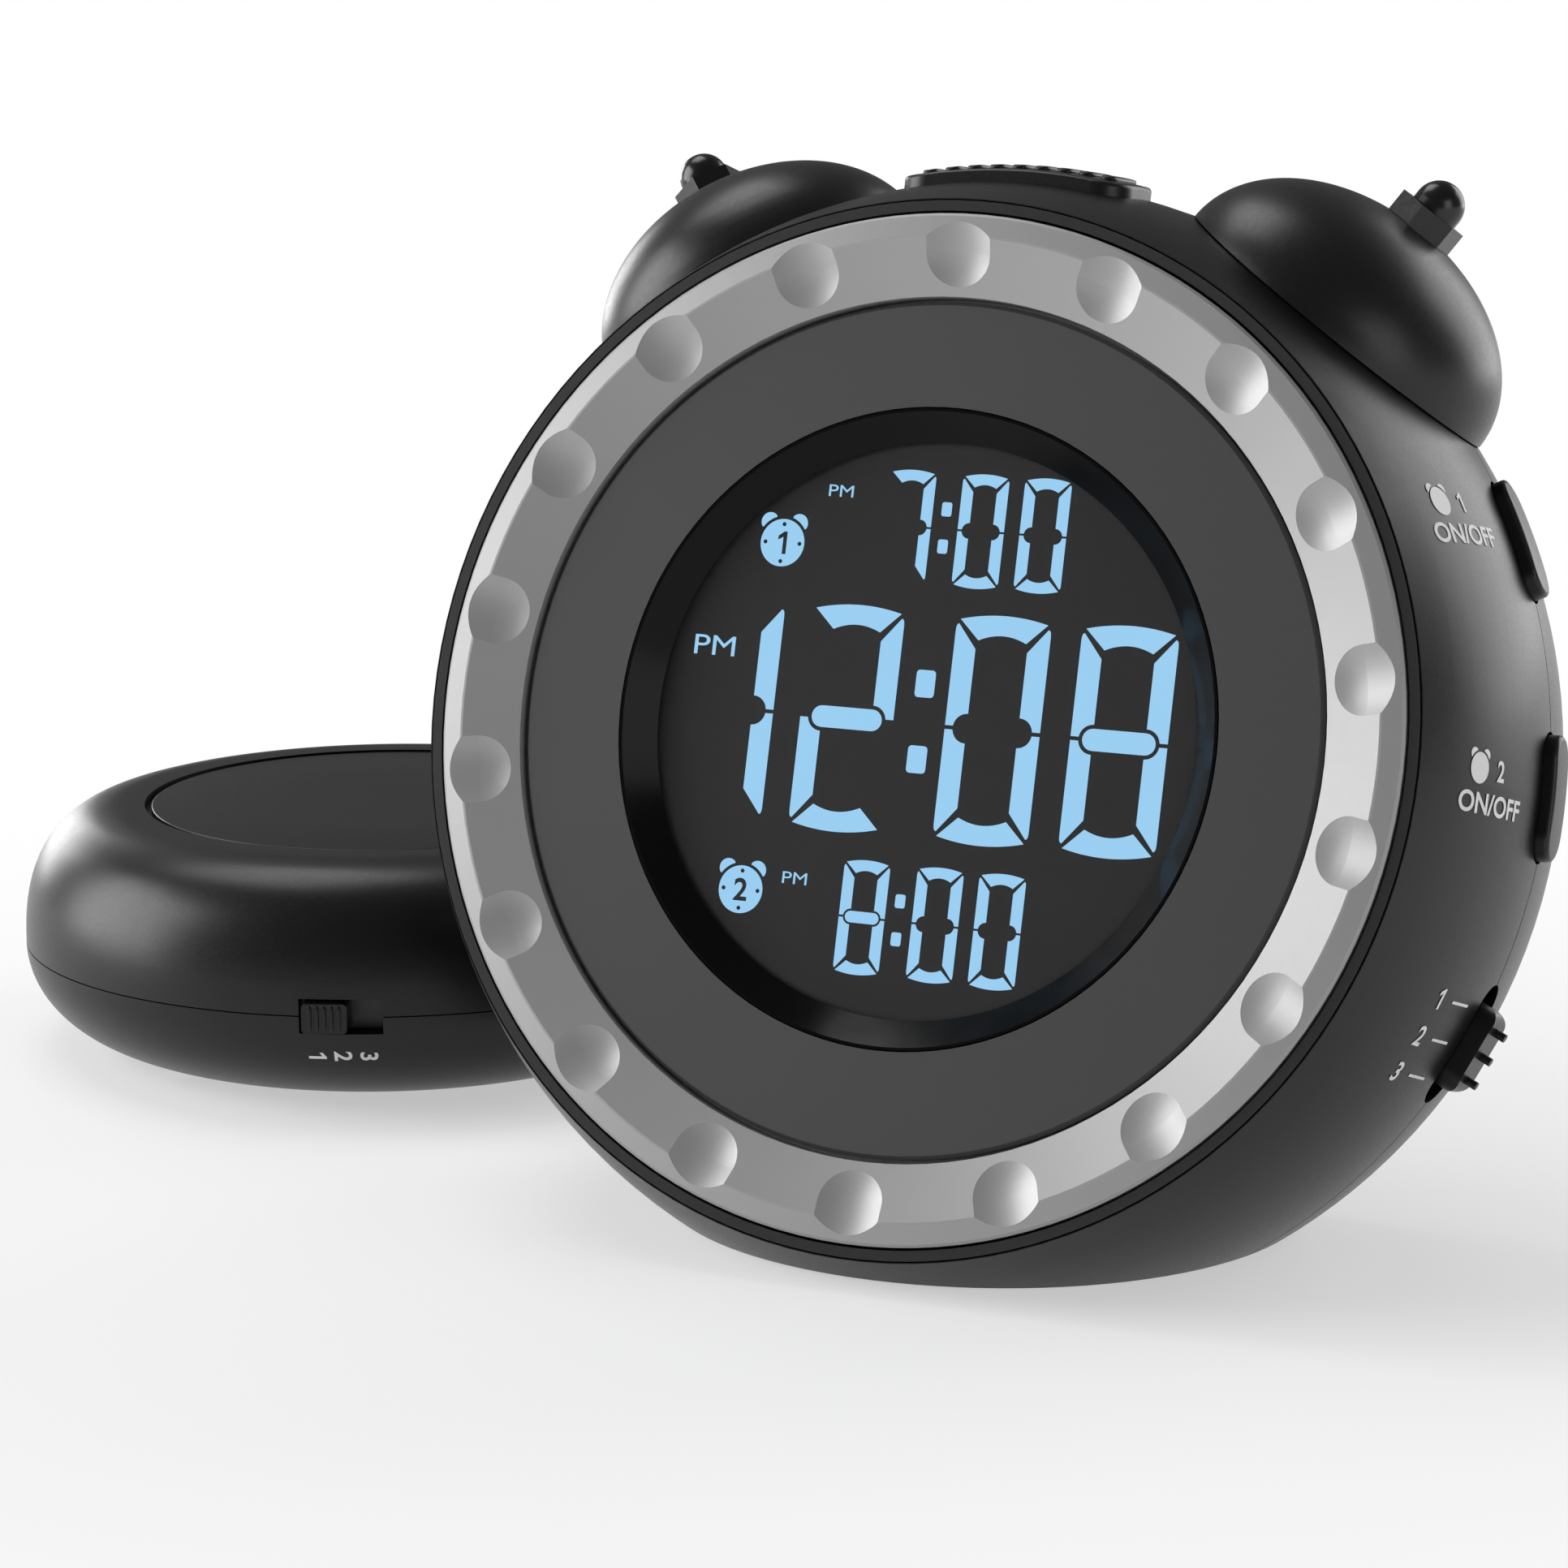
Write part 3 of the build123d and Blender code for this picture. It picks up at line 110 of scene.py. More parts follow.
# Dots of the colons: lower left corner, upper right corner and rounding.
COLON_DOTS = (
    ((-1.35, 3.5), (0.85, 6.4), 0.4),
    ((-1.35, -4.5), (0.85, -1.6), 0.4),
    ((-0.65, 22.7), (0.5, 24.2), 0.25),
    ((-0.65, 18.75), (0.5, 20.25), 0.25),
    ((-0.85, -18.75), (0.3, -17.3), 0.25),
    ((-0.85, -22.75), (0.3, -21.3), 0.25),
)
# Alarm clock marks on the display: place across, place up and number.
DISPLAY_ALARMS = ((-18.5, 18.7, "1"), (-18.7, -18.5, "2"))
# Afternoon marks on the display: height, place across and place up.
AFTERNOON_MARKS = ((2.1, -25.0, 7.2), (1.25, -12.35, 24.65), (1.25, -12.6, -16.75))
# Numbers on the case side with their turns round the drum, in degrees from the top.
SIDE_ALARMS = (("1", 61.5), ("2", 88.5))
SIDE_LEVELS = (("1", 111.3), ("2", 115.4), ("3", 119.5))
# A numeral one, a stem with a flag, round its middle and one high.
NUMERAL_ONE = (
    (0.02, -0.5), (0.2, -0.5), (0.2, 0.5), (0.05, 0.5), (-0.22, 0.3), (-0.22, 0.12), (0.02, 0.26),
)
# Exponents of the raised bars and ribs: 1 is an ellipsoid, and lower values are boxier.
BAR_SQUARENESS = 0.45
RIB_SQUARENESS = 0.5

CASE_FINISH = "Spark eroded black ABS"
PANEL_FINISH = "Unlit display polariser"
INK_FINISH = "Pad printed white ink"
BARE_METAL = {"Metallic": 1.0}
# Finishes of the inner pieces by the record's slot: name, colour, roughness, grain in
# millimetres, bump over grain, tint, and further inputs of the shader.
INNER_FINISHES = {
    "light_white": ("Milky acrylic light guide", "#dfe6ec", 0.3, 1.0, 0.004, 0.02),
    "inner_black": ("Plain moulded black nylon", "#1a1a1a", 0.45, 0.4, 0.015),
    "strip_rubber": ("Striped contact rubber", "#b98a94", 0.7, 0.5, 0.02),
    "board_green": ("Solder masked glass epoxy", "#1f5a36", 0.35, 0.8, 0.01, 0.15),
    "chip_black": ("Moulded chip epoxy", "#1a1a1b", 0.6, 0.2, 0.02),
    "can_metal": ("Drawn aluminium can", "#c8cacc", 0.3, 0.4, 0.006, 0.05, BARE_METAL),
    "steel": ("Zinc plated steel", "#b4b5b8", 0.32, 0.3, 0.01, 0.08, BARE_METAL),
    "brass_leaf": ("Rolled spring brass", "#c9a45a", 0.28, 0.4, 0.006, 0.06, BARE_METAL),
    "magnet_grey": ("Sintered ferrite", "#3a3a3c", 0.55, 0.5, 0.02),
    "cone_paper": ("Felted speaker paper", "#1e1e1e", 0.85, 0.6, 0.05, 0.2),
    "cell_steel": ("Nickel plated cell can", "#c9c9cb", 0.2, 0.5, 0.004, 0.04, BARE_METAL),
    "pad_rubber": ("Moulded black rubber", "#1b1b1b", 0.75, 0.4, 0.02, 0.15),
    "weight_steel": ("Turned plain steel", "#97989b", 0.35, 0.25, 0.01, 0.08, BARE_METAL),
    "switch_white": ("Black moulded acetal", "#141415", 0.4, 0.5, 0.006, 0.03),
}

# Lamps of the stage: place and size in metres, and power in watts.
LAMPS = (
    ("key_box", (-0.98, -0.36, 0.36), 0.8, 13.0),
    ("left_box", (-0.9, 0.6, 0.16), 0.4, 3.0),
    ("side_box", (0.5, 0.9, 0.36), 0.75, 5.0),
    ("top_box", (-0.45, 0.25, 0.95), 0.55, 3.4),
    ("fill_box", (0.95, -0.5, 0.35), 0.6, 2.0),
)


def millimetres(text, value, about):
    """A length property whose value is in millimetres."""
    return FloatProperty(name=text, description=about, default=value, min=0.0)


def degrees(text, value, about):
    """An angle property whose value is in degrees."""
    return FloatProperty(name=text, description=about, default=value)


def hex_colour(text, value, about):
    """A colour property written as an sRGB hex value."""
    return StringProperty(name=text, description=about, default=value)


class ClockCaseSizes(bpy.types.PropertyGroup):
    """Barrel curve of the case, as far as marks and bars on it need it."""

    crown_radius: millimetres("Crown radius", half_width("main_case"), "Largest radius of the case")
    crown_depth: millimetres("Crown depth", 25.4, "Depth of the largest radius behind the face")
    front_radius: millimetres("Front radius", 55.65, "Radius of the case at its front lip")
    front_depth: millimetres("Front depth", 0.5, "Depth of the front lip behind the face")


class DisplaySizes(bpy.types.PropertyGroup):
    """Digits and marks on the display, in its own plane."""

    digit_depth: millimetres("Digit depth", 5.18, "Depth of the lit digits behind the ring plane")
    number_lift: millimetres("Number lift", 0.012, "Height of the dark numbers over lit marks")
    main_height: millimetres("Main height", 24.15, "Height of the large digits")
    main_width: millimetres("Main width", 10.7, "Width of the large digits")
    main_stroke: millimetres("Main stroke", 2.45, "Stroke of the large digits")
    small_height: millimetres("Small height", 12.1, "Height of the small digits")
    small_width: millimetres("Small width", 5.25, "Width of the small digits")
    small_stroke: millimetres("Small stroke", 1.3, "Stroke of the small digits")
    gap_share: FloatProperty(
        name="Gap share", description="Gap between segments over the stroke", default=0.17
    )
    mark_radius: millimetres("Mark radius", 2.55, "Radius of the alarm clock marks")


class SidePrintSizes(bpy.types.PropertyGroup):
    """Marks printed on the case side, at depths behind the face."""

    lift: millimetres("Lift", 0.06, "Height of a print over the surface")
    mark_depth: millimetres("Mark depth", 9.5, "Depth of the alarm clock marks")
    mark_radius: millimetres("Mark radius", 1.6, "Radius of the alarm clock marks")
    number_depth: millimetres("Number depth", 13.6, "Depth of the alarm numbers")
    words_depth: millimetres("Words depth", 12.6, "Depth of the words under the numbers")
    words_height: millimetres("Words height", 2.2, "Height of the words and alarm numbers")
    words_turn: degrees("Words turn", 3.4, "Turn in degrees from a mark to its words")
    level_depth: millimetres("Level depth", 14.4, "Depth of the switch numbers")
    level_height: millimetres("Level height", 2.3, "Height of the switch numbers")
    line_start: millimetres("Line start", 17.2, "Depth at which a switch line starts")
    line_end: millimetres("Line end", 21.4, "Depth at which a switch line ends")
    line_half: millimetres("Line half width", 0.16, "Half of the width of a switch line")
    line_round: millimetres("Line rounding", 0.1, "Radius of a switch line's corners")


class GripSizes(bpy.types.PropertyGroup):
    """Grip bars of the snooze pad and ribs of the shaker's knob."""

    pad_depth: millimetres("Pad depth", 17.2, "Depth of the pad's middle behind the face")
    pad_rise: millimetres("Pad rise", 1.35, "Height of the pad over the case")
    bar_count: IntProperty(name="Bar count", description="Number of grip bars", default=9)
    bar_pitch: millimetres("Bar pitch", 2.6, "Spacing of the grip bars")
    bar_width: millimetres("Bar width", 1.9, "Width of a grip bar")
    bar_length: millimetres("Bar length", 7.0, "Length of a grip bar")
    bar_height: millimetres("Bar height", 0.4, "Height of a grip bar")
    rib_count: IntProperty(name="Rib count", description="Number of the knob's ribs", default=5)
    rib_pitch: millimetres("Rib pitch", 0.85, "Spacing of the knob's ribs")
    rib_width: millimetres("Rib width", 0.5, "Width of a rib")
    rib_length: millimetres("Rib length", 3.1, "Length of a rib")
    rib_height: millimetres("Rib height", 0.22, "Height of a rib")


class ShakerSizes(bpy.types.PropertyGroup):
    """Lower side of the shaker, the level numbers on it, and the disc in its top."""

    radius: millimetres("Radius", 44.5, "Radius of the shaker at its waist")
    waist_height: millimetres("Waist height", 12.9, "Height of the waist")
    foot_gap: millimetres("Foot gap", 0.3, "Height of the flat underside")
    foot_run: millimetres("Foot run", 16.0, "Distance from the waist in to the flat underside")
    number_height: millimetres("Number height", 2.1, "Height of a level number")
    number_level: millimetres("Number level", 7.9, "Height of the numbers over the table")
    first_turn: degrees("First turn", 18.4, "Place of number 1 in degrees")
    turn_step: degrees("Turn step", 4.0, "Degrees from number to number")
    disc_radius: millimetres("Disc radius", 28.75, "Radius of the disc in the shaker's top")
    disc_top: millimetres("Disc top", 29.16, "Height of the disc's face over the table")
    disc_foot: millimetres("Disc foot", 28.15, "Height of the disc's seat over the table")
    disc_round: millimetres("Disc round", 0.15, "Radius of the disc's upper edge")


class FinishColours(bpy.types.PropertyGroup):
    """Colours of the finishes, as sRGB hex values."""

    case_black: hex_colour("Case black", "#121213", "Matte moulded case")
    rim_black: hex_colour("Rim black", "#282829", "Band round the ring")
    ring_silver: hex_colour("Ring silver", "#a4a4a5", "Silver lacquer of the ring")
    face_grey: hex_colour("Face grey", "#3c3c3c", "Flat plate round the display")
    recess_black: hex_colour("Recess black", "#0b0b0c", "Glossy cone round the display")
    panel_grey: hex_colour("Panel grey", "#2b2b2b", "Unlit display")
    digit_blue: hex_colour("Digit blue", "#a3d9ff", "Lit digits")
    bell_black: hex_colour("Bell black", "#0c0c0d", "Satin lacquer of the bells")
    nut_black: hex_colour("Nut black", "#131314", "Black nickel of the cap nuts")
    print_white: hex_colour("Print white", "#f0f0f0", "Printed marks")
    floor_white: hex_colour("Floor white", "#f6f6f6", "Floor of the stage")


class StageSizes(bpy.types.PropertyGroup):
    """Camera, floor and light of the stage."""

    lens: FloatProperty(name="Lens", description="Focal length of the camera in mm", default=111.87)
    camera_place: FloatVectorProperty(
        name="Camera place",
        description="Camera from the middle of the ring, in millimetres",
        default=(197.19, -455.58, 99.49),
    )
    camera_ahead: FloatVectorProperty(
        name="Camera ahead",
        description="Looking direction of the camera",
        default=(-0.4108, 0.8876, -0.2082),
    )
    camera_down: FloatVectorProperty(
        name="Camera down",
        description="Downward direction of the image",
        default=(0.086, -0.1896, -0.9781),
    )
    floor_radius: FloatProperty(
        name="Floor radius", description="Radius of the floor", default=6.0, unit="LENGTH"
    )
    white_shift: FloatVectorProperty(
        name="White shift",
        description="Shift that puts the white patch's middle at zero",
        default=(0.04, -0.01, 0.0),
        unit="LENGTH",
    )
    white_start: FloatProperty(
        name="White start",
        description="Distance from which the floor turns plain white",
        default=0.07,
        unit="LENGTH",
    )
    white_end: FloatProperty(
        name="White end",
        description="Distance past which the floor is plain white",
        default=0.24,
        unit="LENGTH",
    )
    white_least: FloatProperty(
        name="White least", description="Share of plain white in the middle", default=0.5
    )
    sky_light: FloatProperty(
        name="Sky light", description="Strength of the world's light on the object", default=0.16
    )


def linear(text):
    """Linear colour of an sRGB hex value: the lower part is a line and the rest a power curve."""
    values = [int(text[place:place + 2], 16) / 255 for place in (1, 3, 5)]
    return [value / 12.92 if value <= 0.04045 else ((value + 0.055) / 1.055) ** 2.4
            for value in values]


def shaded(colour, factor):
    """A linear colour times a factor, at most white, with its alpha."""
    return [min(1.0, value * factor) for value in colour] + [1.0]


def add_node(tree, kind, settings=None, inputs=None):
    """Adds a node, sets its settings, and gives each named input a value or a link."""
    node = tree.nodes.new(kind)
    for name, value in (settings or {}).items():
        setattr(node, name, value)
    for name, value in (inputs or {}).items():
        if isinstance(value, bpy.types.NodeSocket):
            tree.links.new(value, node.inputs[name])
        else:
            node.inputs[name].default_value = value
    return node


def blank_material(name):
    """New material with only a Principled shader and its output."""
    material = bpy.data.materials.new(name)
    material.use_nodes = True
    tree = material.node_tree
    tree.nodes.clear()
    shader = add_node(tree, "ShaderNodeBsdfPrincipled")
    output = add_node(tree, "ShaderNodeOutputMaterial")
    tree.links.new(shader.outputs["BSDF"], output.inputs["Surface"])
    return material, tree, shader


def object_noise(tree, size_mm, **inputs):
    """Noise of a real size on Object coordinates."""
    place = add_node(tree, "ShaderNodeTexCoord")
    return add_node(tree, "ShaderNodeTexNoise", inputs={
        "Vector": place.outputs["Object"], "Scale": 1 / (size_mm * MM), **inputs})


def grained(name, colour, roughness, grain_mm, bump_share, tint=0.12, settings=None):
    """Surface with a fine grain: noise of a real size drives colour, roughness and bump."""
    material, tree, shader = blank_material(name)
    grain = object_noise(tree, grain_mm, Detail=2.0, Roughness=0.55)
    cloud = object_noise(tree, 18, Detail=3.0)
    base = linear(colour)
    shade = add_node(tree, "ShaderNodeMix", {"data_type": "RGBA"}, {
        "Factor": cloud.outputs["Fac"], "A": shaded(base, 1 - tint), "B": shaded(base, 1 + tint)})
    rough = add_node(tree, "ShaderNodeMapRange", inputs={
        "Value": grain.outputs["Fac"], "From Min": 0.3, "From Max": 0.7,
        "To Min": roughness - 0.03, "To Max": roughness + 0.03})
    bump = add_node(tree, "ShaderNodeBump", inputs={
        "Height": grain.outputs["Fac"], "Strength": 1.0, "Distance": grain_mm * MM * bump_share})
    tree.links.new(shade.outputs["Result"], shader.inputs["Base Color"])
    tree.links.new(rough.outputs["Result"], shader.inputs["Roughness"])
    tree.links.new(bump.outputs["Normal"], shader.inputs["Normal"])
    for key, value in (settings or {}).items():
        shader.inputs[key].default_value = value
    return material


def spark_eroded_abs(colours):
    """Moulded ABS from a spark eroded tool: deep black with a soft wide sheen."""
    return grained(CASE_FINISH, colours.case_black, 0.34, 0.35, 0.02, 0.12,
                   {"Specular IOR Level": 0.36})


def polished_tool_abs(colours):
    """Moulded ABS from a fine tool: the thin band round the ring, smoother than the case."""
    return grained("Fine moulded black ABS", colours.rim_black, 0.34, 0.3, 0.01)


def silver_lacquer(colours):
    """Silver lacquer over ABS: pale grey with a soft metallic lift."""
    return grained("Silver lacquered ABS", colours.ring_silver, 0.44, 0.25, 0.008, 0.03,
                   {"Metallic": 0.35})


def face_plate_abs(colours):
    """Flat dark grey plate, moulded with a silk surface."""
    return grained("Silk moulded grey ABS", colours.face_grey, 0.5, 0.3, 0.008, 0.03)


def piano_black(colours):
    """High gloss black ABS of the cone: mirror like with the faintest ripple."""
    return grained("Polished piano black ABS", colours.recess_black, 0.18, 4.0, 0.0006, 0.05,
                   {"Specular IOR Level": 0.12})


def display_polariser(colours):
    """Film of the unlit display: dark grey and nearly without gloss."""
    return grained(PANEL_FINISH, colours.panel_grey, 0.6, 2.0, 0.0005, 0.03,
                   {"Specular IOR Level": 0.25})


def satin_bell_lacquer(colours):
    """Satin black stoving lacquer on pressed steel."""
    return grained("Satin stoved lacquer on steel", colours.bell_black, 0.36, 0.5, 0.008, 0.08,
                   {"Specular IOR Level": 0.42})


def black_nickel(colours):
    """Black nickel plate on the cap nuts: dark, with a tight shine."""
    return grained("Black nickel plated steel", colours.nut_black, 0.24, 0.6, 0.0015, 0.1,
                   {"Metallic": 0.15})


def clear_window():
    """Clear hard coated acrylic over the display, nearly unseen."""
    material, tree, shader = blank_material("Hard coated clear acrylic")
    cloud = object_noise(tree, 25)
    rough = add_node(tree, "ShaderNodeMapRange", inputs={
        "Value": cloud.outputs["Fac"], "To Min": 0.08, "To Max": 0.14})
    tree.links.new(rough.outputs["Result"], shader.inputs["Roughness"])
    shader.inputs["Base Color"].default_value = (0.02, 0.02, 0.02, 1)
    shader.inputs["Alpha"].default_value = 0.05
    return material


def lit_segment(colours):
    """Lit segment of the display: even pale blue light."""
    material, tree, shader = blank_material("Lit display segment")
    cloud = object_noise(tree, 9)
    colour = linear(colours.digit_blue)
    light = add_node(tree, "ShaderNodeMix", {"data_type": "RGBA"}, {
        "Factor": cloud.outputs["Fac"], "A": shaded(colour, 0.97), "B": shaded(colour, 1.02)})
    tree.links.new(light.outputs["Result"], shader.inputs["Emission Color"])
    shader.inputs["Emission Strength"].default_value = 1.0
    shader.inputs["Base Color"].default_value = (0.0, 0.0, 0.0, 1)
    shader.inputs["Specular IOR Level"].default_value = 0.0
    shader.inputs["Roughness"].default_value = 0.6
    return material


def drum_points(across, up, depth):
    """World points of drum places: origin plus across, up and outward steps, in millimetres."""
    steps = (np.multiply.outer(across, DRUM_ACROSS) + np.multiply.outer(up, DRUM_UP)
             - np.multiply.outer(depth, DRUM_OUT))
    return DRUM_ORIGIN + MM * steps


def barrel_radius(sizes, depth):
    """Radius of the case at a depth: a circular arc through the front lip and the crown."""
    run = sizes.crown_depth - sizes.front_depth
    swell = sizes.crown_radius - sizes.front_radius
    curve = (run**2 + swell**2) / (2 * swell)
    return sizes.crown_radius - curve + np.sqrt(curve**2 - (depth - sizes.crown_depth) ** 2)


def new_piece(name, points, faces, material, body, smooth=True):
    """Mesh object from points in metres and faces, riding on a body of the frame."""
    mesh = bpy.data.meshes.new(name)
    mesh.from_pydata(np.asarray(points).tolist(), [], faces)
    mesh.materials.append(material)
    mesh.polygons.foreach_set("use_smooth", [smooth] * len(mesh.polygons))
    mesh.update()
    piece = bpy.data.objects.new(name, mesh)
    bpy.context.scene.collection.objects.link(piece)
    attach(piece, body)
    return piece


def signed_area(outline):
    """Area inside an outline, positive where it runs counterclockwise."""
    ahead = np.roll(outline, -1, axis=0)
    return float(np.sum(outline[:, 0] * ahead[:, 1] - ahead[:, 0] * outline[:, 1]) / 2)


def joined(outlines):
    """Points and faces of several flat outlines, one face each, all turned counterclockwise."""
    outlines = [outline if signed_area(outline) > 0 else outline[::-1] for outline in outlines]
    points = np.vstack(outlines)
    starts = np.cumsum([0] + [len(outline) for outline in outlines[:-1]])
    faces = [list(range(start, start + len(outline))) for start, outline in zip(starts, outlines)]
    return points, faces


def joined_with_turns(lines):
    """Points and faces of outlines that each have a turn in degrees, and each point's turn."""
    points, faces = joined([outline for outline, turn in lines])
    turns = np.concatenate([np.full(len(outline), turn) for outline, turn in lines])
    return points, faces, np.radians(turns)


def arc(centre, radius, start, end, count=10):
    """Points of an arc: centre plus radius times cosine and sine of evenly stepped angles."""
    turn = np.radians(np.linspace(start, end, count))
    return np.column_stack([centre[0] + radius * np.cos(turn), centre[1] + radius * np.sin(turn)])


def pill(low, high, centre_up, radius):
    """Outline of a bar with round ends between two places across."""
    left = arc((low + radius, centre_up), radius, 90, 270)
    right = arc((high - radius, centre_up), radius, -90, 90)
    return np.vstack([left, right])


def rounded_box(low, high, corner):
    """Outline of a box with rounded corners."""
    (left, bottom), (right, top) = low, high
    return np.vstack([
        arc((right - corner, top - corner), corner, 0, 90, 5),
        arc((left + corner, top - corner), corner, 90, 180, 5),
        arc((left + corner, bottom + corner), corner, 180, 270, 5),
        arc((right - corner, bottom + corner), corner, 270, 360, 5),
    ])


def segment_outlines(width, height, stroke, gap_share):
    """Outlines of the seven segments of a digit in its own box.

    The digit has a gently arched top and bottom. Segments meet at slanted gaps, and the
    uprights are bitten round where the middle bar, a pill, ends.
    """
    gap = stroke * gap_share
    rise = 0.3 * stroke
    half = height / 2
    pill_radius = 0.47 * stroke
    bite = pill_radius + gap
    bite_across = 0.36 * stroke + bite
    corner_up = half - rise
    inner_up = corner_up - 1.035 * stroke

    def arch(across, end_up, start, end):
        """A parabola over a span: four times the rise times the share done and the share left."""
        share = (across - start) / (end - start)
        return end_up + rise * 4 * share * (1 - share)

    outer = np.linspace(gap, width - gap, 14)
    inner = np.linspace(width - stroke - gap / 2, stroke + gap / 2, 12)
    top = np.vstack([
        np.column_stack([outer, arch(outer, corner_up, 0, width)]),
        np.column_stack([inner, arch(inner, inner_up + gap, stroke, width - stroke)]),
    ])
    reach = math.sqrt(bite**2 - (gap / 2) ** 2)
    low_turn = 180 - math.degrees(math.asin(gap / 2 / bite))
    high_turn = math.degrees(math.acos((stroke - bite_across) / bite))
    clipped_corner = [
        [stroke, inner_up - gap],
        [0.75 * gap, corner_up - 0.9 * gap],
        [0.08 * stroke, corner_up - gap],
        [0.02 * stroke, corner_up - 0.25 * stroke],
        [0, corner_up - 0.45 * stroke],
    ]
    upright = np.vstack([
        [[0, gap / 2], [bite_across - reach, gap / 2]],
        arc((bite_across, 0), bite, low_turn, high_turn)[1:],
        clipped_corner,
    ])
    flip_up = np.array([1, -1])
    flip_across = np.array([-1, 1])
    shift = np.array([width, 0])
    parts = {
        "a": top,
        "b": upright * flip_across + shift,
        "c": upright * flip_up * flip_across + shift,
        "d": top * flip_up,
        "e": upright * flip_up,
        "f": upright,
        "g": pill(bite_across - pill_radius, width - bite_across + pill_radius, 0, pill_radius),
    }
    return {name: outline + np.array([0, half]) for name, outline in parts.items()}


def row_outlines(row, width, height, stroke, gap_share):
    """Outlines of a row of digits placed on the display."""
    bottom, digits = row
    parts = segment_outlines(width, height, stroke, gap_share)
    return [parts[name] + np.array([left, bottom])
            for sign, left in digits for name in SEGMENTS[sign]]


def typed_mesh(words, weight):
    """Flat points and faces of a short print in the plain built-in type."""
    curve = bpy.data.curves.new("print", "FONT")
    curve.body = words
    curve.size = 1.0
    curve.offset = weight
    carrier = bpy.data.objects.new("print", curve)
    bpy.context.scene.collection.objects.link(carrier)
    bpy.context.view_layer.update()
    mesh = carrier.evaluated_get(bpy.context.evaluated_depsgraph_get()).to_mesh()
    flat = np.empty(len(mesh.vertices) * 3)
    mesh.vertices.foreach_get("co", flat)
    faces = [list(face.vertices) for face in mesh.polygons]
    carrier.to_mesh_clear()
    bpy.data.objects.remove(carrier)
    bpy.data.curves.remove(curve)
    return flat.reshape(-1, 3)[:, :2], faces


def text_outlines(words, height, across, up=0.0, widen=1.0, weight=0.022):
    """Outlines of a short print round its middle, scaled to its height, one for each face."""
    place = np.array([across, up])
    if words == "1":
        return [np.array(NUMERAL_ONE) * height + place]
    points, faces = typed_mesh(words, weight)
    low, high = points.min(axis=0), points.max(axis=0)
    points = (points - (low + high) / 2) * (height / (high[1] - low[1])) * np.array([widen, 1])
    return [points[face] + place for face in faces]


def alarm_mark(across, up, radius, number):
    """Outlines of a small alarm clock mark and of the number and dots on it.

    The mark is a disc with two domed caps at its upper left and right.
    """
    place = np.array([across, up])
    bright = [arc((0, 0), radius, 0, 352, 45) + place]
    for cap_turn in (52, 128):
        seat = arc((0, 0), 1.08 * radius, cap_turn, cap_turn, 1)[0]
        dome = arc(seat, 0.4 * radius, cap_turn - 82, cap_turn + 82, 14)
        base = arc((0, 0), 1.13 * radius, cap_turn + 19, cap_turn - 19, 8)
        bright.append(np.vstack([dome, base]) + place)
    signs = text_outlines(number, 0.95 * radius, across, up)
    for spot in arc(place, 0.78 * radius, 0, 270, 4):
        signs.append(arc(spot, 0.09 * radius, 0, 330, 12))
    return bright, signs


def lay_on_display(name, outlines, depth, material):
    """Flat piece from outlines laid at one depth in front of the panel."""
    points, faces = joined(outlines)
    place = drum_points(points[:, 0], points[:, 1], np.full(len(points), depth))
    return new_piece(name, place, faces, material, "clock", False)


def closed_rings(rings, low_pole, high_pole):
    """Points and faces of a closed surface from rings of points, lowest first, and two poles."""
    rows, columns = rings.shape[:2]
    points = np.vstack([rings.reshape(-1, 3), [low_pole, high_pole]])
    index = np.arange(rows * columns).reshape(rows, columns)
    ahead = np.roll(index, -1, axis=1)
    quads = np.stack([index[:-1], ahead[:-1], ahead[1:], index[1:]], axis=2)
    low = rows * columns
    low_fan = [[low, right, left] for left, right in zip(index[0].tolist(), ahead[0].tolist())]
    high_fan = [[low + 1, left, right]
                for left, right in zip(index[-1].tolist(), ahead[-1].tolist())]
    return points, quads.reshape(-1, 4).tolist() + low_fan + high_fan


def pillow(half, squareness, rows=9, columns=28):
    """Points and faces of a superellipsoid.

    Each point is the half size times signed powers of cosines and sines of two angles.
    """
    rise = np.linspace(-math.pi / 2, math.pi / 2, rows + 2)[1:-1]
    turn = np.linspace(0, 2 * math.pi, columns + 1)[:-1]

    def power(value):
        return np.sign(value) * np.abs(value) ** squareness

    ring = power(np.cos(rise))
    rings = np.stack([
        half[0] * np.outer(ring, power(np.cos(turn))),
        half[1] * np.outer(ring, power(np.sin(turn))),
        half[2] * np.outer(power(np.sin(rise)), np.ones(columns)),
    ], axis=2)
    return closed_rings(rings, [0, 0, -half[2]], [0, 0, half[2]])


def lathe(radius, height, columns=160):
    """Points and faces of a closed turned solid.

    Each point is a radius of the profile times the cosine and sine of the turn, at the
    profile's height. The profile runs from its lowest point to its highest.
    """
    turn = np.linspace(0, 2 * math.pi, columns + 1)[:-1]
    rings = np.stack([np.outer(radius, np.cos(turn)), np.outer(radius, np.sin(turn)),
                      np.outer(height, np.ones(columns))], axis=2)
    return closed_rings(rings, [0, 0, height[0]], [0, 0, height[-1]])


def gathered(pieces):
    """Points and faces of several shapes as one mesh."""
    shifts = np.cumsum([0] + [len(points) for points, faces in pieces[:-1]])
    faces = [[int(corner + shift) for corner in face]
             for shift, (points, shape) in zip(shifts, pieces) for face in shape]
    return np.vstack([points for points, shape in pieces]), faces


